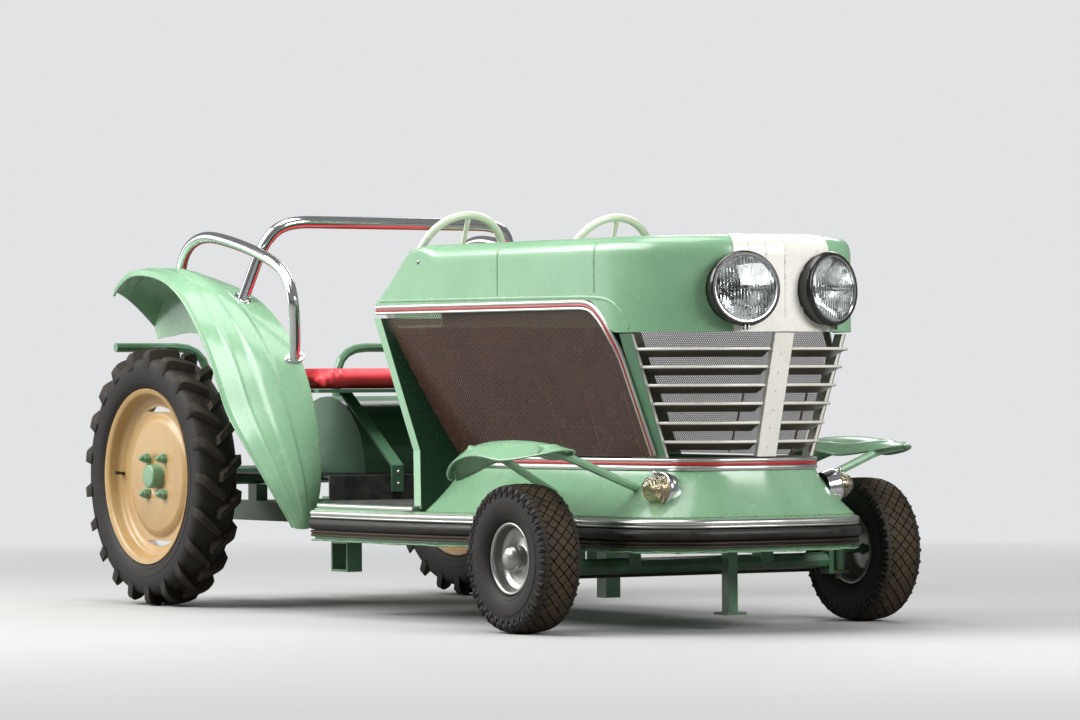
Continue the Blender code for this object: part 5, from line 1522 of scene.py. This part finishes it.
@dataclass
class GripTubes:
    """Chromed grab hoops and backrest rail with red strips that paint the red seat's reflection, oval
    flanges and screws.
    """

    finishes: Finishes

    def tube(self, name: str, node: str, path: Floats, radius: float) -> None:
        """Round tube along a path in place of a CAD node."""
        ring = round_section(radius, 28)
        side = np.array([0.0, 1.0, 0.0]) if "hoop" in name else AHEAD
        Shape().solid(swept(path, ring, side)).piece(name, "chrome", self.finishes.chrome, node=node)

    def strip(self, name: str, path: Floats, inwards: Floats, radius: float) -> None:
        """Red strip on a tube on the side that faces its middle: a painted reflection of the red seat in the
        chrome.
        """
        foot = radius - 0.003
        face = [(radius + d, p) for d, p in bead(-0.004, 0.004, -0.0004, 0.0022, 6)]
        section = np.array([(foot, -0.0042)] + face + [(foot, 0.0042)])
        shape = Shape().solid(swept(path, section, inwards))
        shape.piece(name, "red_vinyl", self.finishes.red_strip)

    def flange(self, shape: Shape, spot: Floats, normal: Floats, long_way: Floats,
               size: tuple[float, float]) -> None:
        """Oval plate with rolled edge on the fender, a screw at each end of its long axis."""
        u = long_way - normal * float(np.dot(long_way, normal))
        u = unit(u)
        v = np.cross(normal, u)
        turn = np.linspace(0, 2 * math.pi, 40, endpoint=False)
        rings = []
        for grow, height in ((0.97, -0.003), (1.0, 0.0008), (0.96, 0.0024), (0.84, 0.003)):
            flat = grow * size[0] * np.cos(turn)[:, None] * u + grow * size[1] * np.sin(turn)[:, None] * v
            rings.append(spot + flat + normal * height)
        shape.solid(np.array(rings))
        for end in (-1.0, 1.0):
            head = spot + u * end * size[0] * 0.7 + normal * 0.0028
            shape.grid(bolt(head, normal, 0.0046, 0.0026), wrap_cols=True)

    def build(self) -> None:
        """Make the tubes, strips and flanges on both sides."""
        flanges = Shape()
        arch = rounded(np.array([
            (-1.316, 0.368, 0.7), (-1.262, 0.334, 0.852), (-1.24, 0.288, 0.8925),
            (-1.24, -0.288, 0.8925), (-1.262, -0.334, 0.852), (-1.316, -0.368, 0.7),
        ]), 0.06, 8)
        for side in Side:
            drape = Drape(f"rear_fender_{side.word}")
            hoop = [(-1.05, 0.69), (-1.083, 0.765), (-1.165, 0.806), (-1.33, 0.846), (-1.48, 0.868),
                    (-1.57, 0.835), (-1.601, 0.76), (-1.604, 0.67)]
            route = np.array([(-1.122, 0.3365, 0.56)] + [(x, HOOP_Y, z) for x, z in hoop])
            route[:, 1] *= side.value
            path = trimmed(rounded(route, 0.1, 10), drape)
            self.tube(f"chromed_hoop_{side.word}", f"grab_hoop_{side.word}", path, 0.0125)
            middle = np.array([-1.33, side.value * HOOP_Y, 0.7])
            inwards = middle - path
            inwards = unit(inwards)
            self.strip(f"hoop_red_reflection_{side.word}", path[2:-2], inwards[2:-2], 0.0125)
            order = 1 if side is Side.LEFT else -1
            arch = trimmed(arch[::order], drape)[::order]
            feet = (
                (path[0], np.array([0.15, 1.0, 0.0]), (0.0235, 0.0165)),
                (path[-1], AHEAD, (0.0235, 0.0165)),
                (arch[0] if side is Side.LEFT else arch[-1], AHEAD, (0.027, 0.0175)),
            )
            for foot, long_way, size in feet:
                spots, normals = drape.lay([foot + np.array([0.0, 0.0, 0.05])], (0.0, 0.0, -1.0))
                if len(spots):
                    self.flange(flanges, spots[0], normals[0], long_way, size)
        self.tube("chromed_rail", "backrest_rail", arch, 0.0135)
        inwards = np.array([-1.24, 0.0, 0.6]) - arch
        inwards = unit(inwards)
        self.strip("rail_red_reflection", arch[6:-6], inwards[6:-6], 0.0135)
        flanges.piece("tube_flanges", "chrome", self.finishes.chrome)


@dataclass
class BonnetDetails:
    """Raised edge and seams of the bonnet, flutes on the white band, and the body's screws."""

    finishes: Finishes

    def line(self, drape: Drape, starts: Floats, direction: Sequence[float], width: float,
             height: float) -> Floats:
        """Low bead laid on the surface along the points where the rays meet it."""
        points, normals = drape.lay(starts, direction)
        half = width / 2
        section = [(-0.0006, -half)] + bead(-half, half, 0.0, height, 6) + [(-0.0006, half)]
        return swept(points, np.array(section), normals)

    def build(self) -> None:
        """Make the lines, the flutes and the screws."""
        bonnet, band = Drape("bonnet_sheet"), Drape("nose_band_sheet")
        shape = Shape()
        for side in Side:
            hand = side.value
            route = rounded(np.array([
                (-0.735, 0.0, 0.7), (0.02, 0.0, 0.696), (0.095, 0.0, 0.69), (0.134, 0.0, 0.66),
                (0.152, 0.0, 0.6265),
            ]), 0.045, 8)
            fine = np.concatenate([np.linspace(a, b, 6)[:-1] for a, b in zip(route, route[1:])])
            starts = fine + np.array([0.0, hand * 0.6, 0.0])
            shape.solid(self.line(bonnet, starts, (0.0, -hand, 0.0), 0.0075, 0.0014))
            for x in (-0.3, 0.04):
                heights = 0.706 + 0.108 * np.sin(np.linspace(0.0, math.pi / 2, 22))
                starts = np.stack([np.full(22, x), np.full(22, hand * 0.6), heights], -1)
                shape.solid(self.line(bonnet, starts, (0.0, -hand, 0.0), 0.0064, 0.0013))
        shape.piece("bonnet_pressings", "green_paint", self.finishes.green)
        shape = Shape()
        for y in (-0.085, -0.045, 0.0, 0.045, 0.085):
            angle = np.linspace(math.radians(8), math.radians(84), 40)
            centre = np.array([0.1, y, 0.62])
            points, normals = [], []
            for ray in np.stack([np.cos(angle), np.zeros(40), np.sin(angle)], -1):
                p, n = band.lay([centre + ray * 0.6], tuple(-ray))
                if len(p):
                    points.append(p[0])
                    normals.append(n[0])
            section = [(-0.0005, -0.0028)] + bead(-0.0028, 0.0028, 0.0, 0.0011, 6) + [(-0.0005, 0.0028)]
            shape.solid(swept(np.array(points), np.array(section), np.array(normals)))
        shape.piece("nose_band_flutes", "white_paint", self.finishes.white)
        shape = Shape()
        for side in Side:
            starts = [(-0.59, side.value * 0.6, 0.783)]
            spots, normals = bonnet.lay(starts, (0.0, -side.value, 0.0))
            shape.grid(bolt(spots[0], normals[0], 0.005, 0.0026), wrap_cols=True)
            for z in (0.317, 0.29):
                spot = np.array([-0.952, side.value * 0.1652, z])
                shape.grid(bolt(spot, side.out, 0.0058, 0.004), wrap_cols=True)
        shape.piece("body_screws", "steel", self.finishes.steel)


@dataclass
class StepStrip:
    """Bright step strip with three low ribs along its top."""

    side: Side

    def build(self, finishes: Finishes) -> None:
        """Make the strip in place of its CAD node."""
        hand = self.side.value
        section = [(0.2408, 0.3628), (0.248, 0.363)]
        for low in (0.364, 0.3702, 0.3764):
            section += [(h, y) for h, y in bead(low, low + 0.0058, 0.2482, 0.0016, 5)]
        section += [(0.2475, 0.3826), (0.243, 0.3832), (0.2408, 0.382)]
        rings = [[(x, hand * y, z) for z, y in section] for x in np.linspace(-0.9435, -0.5325, 24)]
        Shape().solid(np.array(rings)).piece(
            f"ribbed_step_{self.side.word}", "chrome", finishes.trim, node=f"step_moulding_{self.side.word}")


@dataclass
class DriversWheel:
    """Ivory three-spoke driver's wheel with a round grip and tapered spokes."""

    side: Side

    def build(self, finishes: Finishes) -> None:
        """Make the wheel in place of its CAD node."""
        tilt = math.radians(22)
        up = np.array([math.sin(tilt), 0.0, math.cos(tilt)])
        column = np.array([-math.cos(tilt), 0.0, math.sin(tilt)])
        across = np.array([0.0, 1.0, 0.0])
        centre = np.array([-0.589, self.side.value * 0.196, 0.896]) - up * 0.118
        turn = np.linspace(0, 2 * math.pi, 24, endpoint=False)
        circle = [(0.109 + 0.0089 * math.cos(t), -0.0089 * math.sin(t)) for t in turn]
        shape = Shape().lathe(circle, 96, centre, column, ring=True)
        hub = rounded([(0.0, 0.014), (0.016, 0.012), (0.0218, 0.004), (0.0218, -0.01),
                       (0.0085, -0.014),
                       (0.0085, -0.096), (0.0, -0.096)], 0.003, 4)
        shape.lathe(hub, 40, centre, column)
        for k in range(3):
            angle = 2 * math.pi * k / 3
            reach = up * math.cos(angle) + across * math.sin(angle)
            beside = np.cross(column, reach)
            rings = []
            for along in np.linspace(0.012, 0.108, 9):
                wide = 0.0068 - 0.0016 * math.sin(math.pi * (along - 0.012) / 0.096)
                ring = wide * np.cos(turn)[:, None] * beside + 0.0052 * np.sin(turn)[:, None] * column
                rings.append(centre + reach * along + ring)
            shape.solid(np.array(rings))
        shape.piece(
            f"ivory_wheel_{self.side.word}", "ivory_paint", finishes.ivory,
            node=f"steering_wheel_{self.side.word}", body=f"driver_wheel_{self.side.word}")


def eased(x: Floats, low: float, high: float) -> Floats:
    """Smooth step from 0 at low to 1 at high: f * f * (3 - 2 f)."""
    f = np.clip((np.asarray(x, float) - low) / (high - low), 0.0, 1.0)
    return f * f * (3 - 2 * f)


def eased_corner(count: int, ease: float) -> tuple[Floats, Floats]:
    """Quarter turn from (0, 0) to (1, 1) as distances along the first and the second direction.

    The angle is pi / 2 * (u - ease * sin(2 pi u) / (2 pi)), so the curvature is low where the flats begin.
    """
    u = np.linspace(0.0, 1.0, 401)
    angle = math.pi / 2 * (u - ease * np.sin(2 * math.pi * u) / (2 * math.pi))
    steps = np.stack([np.cos(angle), np.sin(angle)])
    run = np.concatenate([np.zeros((2, 1)), np.cumsum((steps[:, 1:] + steps[:, :-1]) / 2, 1)], 1)
    pick = np.linspace(0, 400, count).astype(int)
    return run[0, pick] / run[0, -1], run[1, pick] / run[1, -1]


@dataclass
class BonnetSkin:
    """Green bonnet sheet with its open cockpit end, and the white band over the nose."""

    finishes: Finishes
    sheet: float = 0.003

    def plan(self) -> tuple[Floats, Floats]:
        """Right half of the plan seen from above, rear first, as points and outward directions."""
        fixed = [np.linspace(a, b, n, endpoint=False) for a, b, n in (
            (-0.753, -0.626, 10), (-0.626, -0.53, 8), (-0.53, 0.0, 14), (0.0, 0.077, 10))]
        stations = np.concatenate(fixed)
        side = np.stack([stations, -0.28 - (ARC_X - stations) * 0.0694], -1)
        start, corner, end = np.array([[0.077, -0.28278], [0.317, -0.26612], [0.3224, -0.026]])
        along, across = eased_corner(33, 0.5)
        bend = start + along[:, None] * (corner - start) + across[:, None] * (end - corner)
        points = np.concatenate([side, bend, [[0.3236, -0.013], [0.325, 0.0]]])
        way = np.gradient(points, axis=0)
        out = np.stack([way[:, 1], -way[:, 0]], -1)
        out[-1] = (1.0, 0.0)
        return points, unit(out)

    def grid(self, grow: float) -> Floats:
        """Right half of the sheet grown outwards: stations by points from the lower edge to the top.

        The lower edge drops from the sides to the nose, the top falls away behind the cockpit, and the edge
        between side and top is an eased quarter turn.
        """
        points, out = self.plan()
        x = points[:, 0]
        low = 0.689 - 0.068 * eased(x, 0.02, 0.112)
        tip = 0.695 + (0.808 - 0.695) * (x + 0.753) / 0.127
        top = np.where(x < -0.626, tip, 0.82 - 0.012 * (1 - eased(x, -0.626, -0.56))) + grow
        radius = 0.008 + 0.027 * eased(x, -0.6, -0.53)
        radius = np.maximum(0.0015, np.minimum(radius, 0.4 * (top - grow - low)) + grow)
        f = np.linspace(0.0, 1.0, 7)
        reach = 1.45 * radius[:, None]
        rise, inset = eased_corner(17, 1.0)
        height = low[:, None] + (top[:, None] - reach - low[:, None]) * f
        corner = top[:, None] - reach * (1 - rise[1:])
        depth = np.concatenate([np.zeros_like(height), reach * inset[1:]], 1)
        flat = points[:, None] + (grow - depth)[..., None] * out[:, None]
        return np.concatenate([flat, np.concatenate([height, corner], 1)[..., None]], -1)

    def across(self, grow: float) -> Floats:
        """Both halves joined over the top."""
        right = self.grid(grow)
        left = right[:, ::-1] * np.array([1.0, -1.0, 1.0])
        right_top, left_top = right[:, -1:], left[:, :1]
        between = [right_top * (1 - f) + left_top * f for f in (0.25, 0.5, 0.75)]
        return np.concatenate([right, *between, left], 1)

    def build(self) -> None:
        """Make both sheets in place of their CAD nodes, with the lamp holes cut."""
        outer, inner = self.across(0.0), self.across(-self.sheet)
        rings = self.grid(0.0).shape[1]
        keep = np.ones((len(outer) - 1, outer.shape[1] - 1), bool)
        keep[self.plan()[0][1:, 0] <= -0.529, rings - 1:rings + 3] = False
        shape = Shape().sheet(outer, inner, keep, seam=True)
        bonnet = shape.piece("bonnet_sheet", "green_paint", self.finishes.green)
        points = self.plan()[0]
        columns = np.linspace(-0.12, 0.12, 49)
        layers = []
        for grow in (0.0022, 0.0006):
            grid = self.grid(grow)
            at = np.interp(-np.abs(columns), points[:, 1], np.arange(len(points)))
            k = np.minimum(at.astype(int), len(points) - 2)
            f = (at - k)[:, None, None]
            lines = grid[k] * (1 - f) + grid[k + 1] * f
            lines[..., 1] *= np.where(columns > 0, -1.0, 1.0)[:, None]
            back = np.repeat(lines[:, -1:], 8, 1)
            back[..., 0] += (0.05 - back[..., 0]) * np.linspace(0.125, 1.0, 8)
            layers.append(np.concatenate([lines, back], 1))
        band = Shape().sheet(*layers).piece("nose_band_sheet", "white_paint", self.finishes.white)
        for obj, node in ((bonnet, "bonnet"), (band, "nose_band")):
            holes = []
            for side in Side:
                lamp = Headlamp(side)
                profile = [(0.0, 0.04), (0.0735, 0.04), (0.0735, -0.12), (0.0, -0.12)]
                holes.append(Shape().lathe(profile, 72, lamp.centre(), lamp.axis()))
            carve(obj, holes)
            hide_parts(node)


@dataclass
class LowerBody:
    """Flared apron, sill with its bent lip, and the louvred grille, as smooth sheets."""

    finishes: Finishes

    def apron(self) -> None:
        """Apron from the belt to the sill; it flares with the power 1.25 of the distance down."""
        layers = []
        for grow in (0.0, -0.003):
            rows = []
            for f in np.linspace(0.0, 1.0, 21):
                z, flare = 0.3339 + (0.2406 - 0.3339) * f, f**1.25
                x = np.linspace(-0.527 - 0.567 * (z - 0.25) + 0.029, ARC_X - 0.01, 16)
                side = np.stack([x, belt_half(x) * (1 - flare) + sill_half(x) * flare], -1)
                half, radius = BELT_W * (1 - flare) + SILL_W * flare, BELT_R * (1 - flare) + SILL_R * flare
                rows.append(carried(nose_plan(half, radius, side), [(grow, z)])[:, 0])
            layers.append(np.array(rows))
        Shape().sheet(*layers).piece("apron_sheet", "green_paint", self.finishes.green, node="apron")

    def sill(self) -> None:
        """Sill band whose lower lip is slightly wavy from knocks."""
        plan = sill_plan(0.01, 40)
        section = [(0.0, 0.24), (0.0, 0.1705), (0.008, 0.17), (0.0098, 0.169), (0.0098, 0.1672),
                   (0.008, 0.1662), (-0.016, 0.1662), (-0.016, 0.17), (-0.004, 0.17), (-0.004, 0.24)]
        rings = carried(plan, section)
        wave = 0.0009 * np.sin(np.arange(len(rings)) * 0.9) + 0.0007 * np.sin(np.arange(len(rings)) * 2.3)
        rings[:, 2:6, 2] += wave[:, None] + 0.0008
        Shape().solid(rings).piece("sill_band", "green_paint", self.finishes.green, node="sill")

    def grille(self) -> None:
        """Corner posts, and louvres that bend round the nose on both sides of the middle post."""
        def outline(z: float) -> tuple[float, float]:
            f = (z - 0.355) / 0.265
            return 0.19 + 0.089 * f, 0.13 + 0.07 * f

        shape = Shape()
        blade = [(0.0, 0.0016), (0.0008, 0.0), (0.0008, -0.003), (0.0, -0.0044), (-0.0025, -0.0046),
                 (-0.004, -0.004), (-0.032, -0.018), (-0.032, -0.0163), (-0.004, 0.0018),
                 (-0.002, 0.0022)]
        for z in (0.587, 0.55, 0.512, 0.474, 0.434, 0.395):
            w, r = outline(z)
            w, r = w - 0.003, r - 0.003
            turn = np.linspace(math.asin(0.033 / r), math.pi / 2, 28)
            arc = np.stack([ARC_X + r * np.sin(turn), w - r * (1 - np.cos(turn))], -1)
            arc_out = np.stack([np.sin(turn), np.cos(turn)], -1)
            f = np.linspace(0.0, 1.0 - 0.0248 / (w - r), 8)[1:]
            flat = np.stack([ARC_X + r + 0.004 * f, (w - r) * (1 - f)], -1)
            points = np.concatenate([arc, flat])
            out = np.concatenate([arc_out, np.broadcast_to([1.0, 0.0], flat.shape)])
            for side in Side:
                mirror = np.array([1.0, side.value])
                rings = carried((points * mirror, out * mirror), [(d, z + h) for d, h in blade])
                shape.solid(rings)
        for side in Side:
            rings = []
            for z in (0.3615, 0.618):
                w = outline(z)[0] - 0.0005
                corners = ((0.127, w), (0.16, w - 0.004), (0.16, w - 0.012), (0.127, w - 0.008))
                rings.append([(x, side.value * y, z) for x, y in corners])
            shape.solid(np.array(rings))
        shape.piece("louvred_grille", "white_paint", self.finishes.louvre_white, node="grille")

    def build(self) -> None:
        """Make all three."""
        self.apron()
        self.sill()
        self.grille()


# Studio


@dataclass
class Studio:
    """Pale floor and background, soft lights and the camera at the photograph's place."""

    azimuth: float = 1.00033209
    tilt: float = -4.74262572e-03
    roll: float = -5.08042238e-03
    focal_px: float = 4749.54
    place: tuple[float, float, float] = (8.283, -5.70712786, 0.518430193)

    def camera(self) -> None:
        """Camera whose axes are worked out from its azimuth, tilt and roll."""
        a, e, r = self.azimuth, self.tilt, self.roll
        forward = Vector((-math.sin(a) * math.cos(e), math.cos(a) * math.cos(e), -math.sin(e)))
        right = Vector((math.cos(a), math.sin(a), 0.0))
        up = right.cross(forward)
        x = math.cos(r) * right + math.sin(r) * up
        y = -math.sin(r) * right + math.cos(r) * up
        turn = Matrix((x, y, -forward)).transposed().to_4x4()
        data = bpy.data.cameras.new("photograph_camera")
        data.sensor_width = 36.0
        data.lens = self.focal_px * 36.0 / 1080.0
        data.dof.use_dof = False
        data.clip_end = 200.0
        camera = placed("photograph_camera", data)
        spot = Vector((self.place[0] + FRONT_AXLE_X, self.place[1], self.place[2]))
        camera.matrix_world = Matrix.Translation(spot) @ turn
        bpy.context.scene.camera = camera

    def floor(self) -> None:
        """Level floor that fades into the pale background away from the tractor."""
        g = Graph("painted_studio_floor")
        seen = add(g.tree, "ShaderNodeLightPath").outputs["Is Camera Ray"]
        paint = g.mix(seen, linear("#868684"), linear("#B4B4B2"))
        material = g.surface(Base_Color=paint, Roughness=0.75)
        lit = material.node_tree.nodes["Principled BSDF"].outputs[0]
        pale = add(g.tree, "ShaderNodeEmission", None,
                   {"Color": linear(BACKGROUND), "Strength": 1.0}).outputs[0]
        amount = g.times(g.step(g.length(g.place, (1.0, 1.0, 0.0)), 1.6, 5.0), seen)
        mixed = add(g.tree, "ShaderNodeMixShader", None, {0: amount, 1: lit, 2: pale}).outputs[0]
        g.tree.links.new(mixed, g.tree.nodes["Material Output"].inputs["Surface"])
        reach = np.array([-30.0, -6.0, 0.0, 6.0, 30.0])
        grid = np.stack([*np.meshgrid(reach, reach, indexing="ij"), np.zeros((5, 5))], -1)
        mesh = bpy.data.meshes.new("studio_floor")
        mesh.from_pydata(grid.reshape(-1, 3).tolist(), [], lattice(5, 5)[:, ::-1].tolist())
        mesh.shade_smooth()
        mesh.materials.append(material)
        placed("studio_floor", mesh)

    def lights(self) -> None:
        """Soft key over the right side, a sheen for gloss alone, a top light, a nose fill, one behind."""
        for name, spot, aim, size, power in (
            ("key", (-1.5, -3.3, 3.0), (-0.2, 0.0, 0.5), (4.0, 2.2), 255.0),
            ("sheen", (-4.6, -3.6, 1.5), (-0.4, -0.2, 0.6), (3.4, 3.0), 55.0),
            ("top", (0.2, -0.6, 3.9), (0.0, 0.0, 0.5), (3.0, 2.6), 120.0),
            ("nose", (3.2, 0.7, 1.5), (1.0, 0.0, 0.6), (1.5, 0.9), 52.0),
            ("back", (-2.5, 3.2, 3.2), (-0.3, 0.0, 0.5), (2.5, 1.2), 60.0),
        ):
            data = bpy.data.lights.new(name, "AREA")
            data.shape = "RECTANGLE"
            data.size, data.size_y = size
            data.energy = power
            obj = placed(name, data)
            obj.visible_camera = False
            obj.visible_diffuse = name != "sheen"
            direction = Vector(aim) - Vector(spot)
            turn = direction.to_track_quat("-Z", "Y").to_matrix().to_4x4()
            obj.matrix_world = Matrix.Translation(spot) @ turn

    def world(self) -> None:
        """Dim even light, with a pale background for the camera and through glass."""
        world = bpy.data.worlds.new("studio_world")
        world.use_nodes = True
        tree = world.node_tree
        tree.nodes.clear()
        path = add(tree, "ShaderNodeLightPath")
        rays = {0: path.outputs["Is Camera Ray"], 1: path.outputs["Is Transmission Ray"]}
        seen = add(tree, "ShaderNodeMath", {"operation": "MAXIMUM"}, rays)
        low = add(tree, "ShaderNodeBackground", None, {"Color": linear("#DADDE0"), "Strength": 0.34})
        high = add(tree, "ShaderNodeBackground", None, {"Color": linear(BACKGROUND), "Strength": 1.0})
        mixed = add(tree, "ShaderNodeMixShader", None,
                    {0: seen.outputs[0], 1: low.outputs[0], 2: high.outputs[0]})
        add(tree, "ShaderNodeOutputWorld", None, {"Surface": mixed.outputs[0]})
        bpy.context.scene.world = world

    def build(self) -> None:
        """Set the scene up."""
        bpy.context.scene.view_settings.view_transform = "Standard"
        self.camera()
        self.floor()
        self.lights()
        self.world()


def dress_nodes(finishes: Finishes) -> None:
    """Give every CAD node the finish of its material slot.

    Args:
        finishes: the built finishes.
    """
    by_slot = {
        "green_paint": finishes.green, "white_paint": finishes.white, "cream_paint": finishes.cream,
        "ivory_paint": finishes.ivory, "silver_trim": finishes.trim, "chrome": finishes.chrome,
        "steel": finishes.steel, "black_enamel": finishes.enamel_black,
        "black_rubber": finishes.strip_rubber,
        "tyre_rubber": finishes.rear_rubber, "lens_glass": finishes.glass, "mesh_steel": finishes.mesh_steel,
        "red_vinyl": finishes.vinyl, "grey_mat": finishes.mat,
    }
    special = {node: finishes.frame_green for node in (
        "front_axle", "rear_axle", "knuckle_right", "knuckle_left")}
    # Chassis, drive cover and seat frame take the darker green as painted shade. The rear deck takes the
    # dark rubber matting: matting on its top, and painted shade on its front face under the drive cover.
    special |= {"chassis": finishes.shaded_green, "drive_cover": finishes.shaded_green,
                "seat_frame": finishes.shaded_green, "rear_deck": finishes.mat,
                "firewall": finishes.firewall_green}
    for part in frame["record"]["subparts"]:
        node = frame["nodes"][part["node"]]
        finish = special.get(part["node"], by_slot[part["material_slot"]])
        node.data.materials.clear()
        node.data.materials.append(finish)


def main() -> None:
    """Build the studio, the finishes and every added piece."""
    logging.basicConfig(level=logging.INFO, format="%(message)s")
    Studio().build()
    finishes = Finishes()
    dress_nodes(finishes)
    for side in Side:
        for part in (LugTyre, BlockTyre, MeshPanel, Headlamp, MarkerLamp, RearWheelDetails, FrontRim,
                     RearFender,
                     Mudguard, StepStrip, DriversWheel):
            part(side).build(finishes)
    for group in (BonnetSkin, LowerBody, Bands, GrilleDetails, GripTubes, BonnetDetails):
        group(finishes).build()
    Seat().build(finishes)


if __name__ == "__main__":
    main()
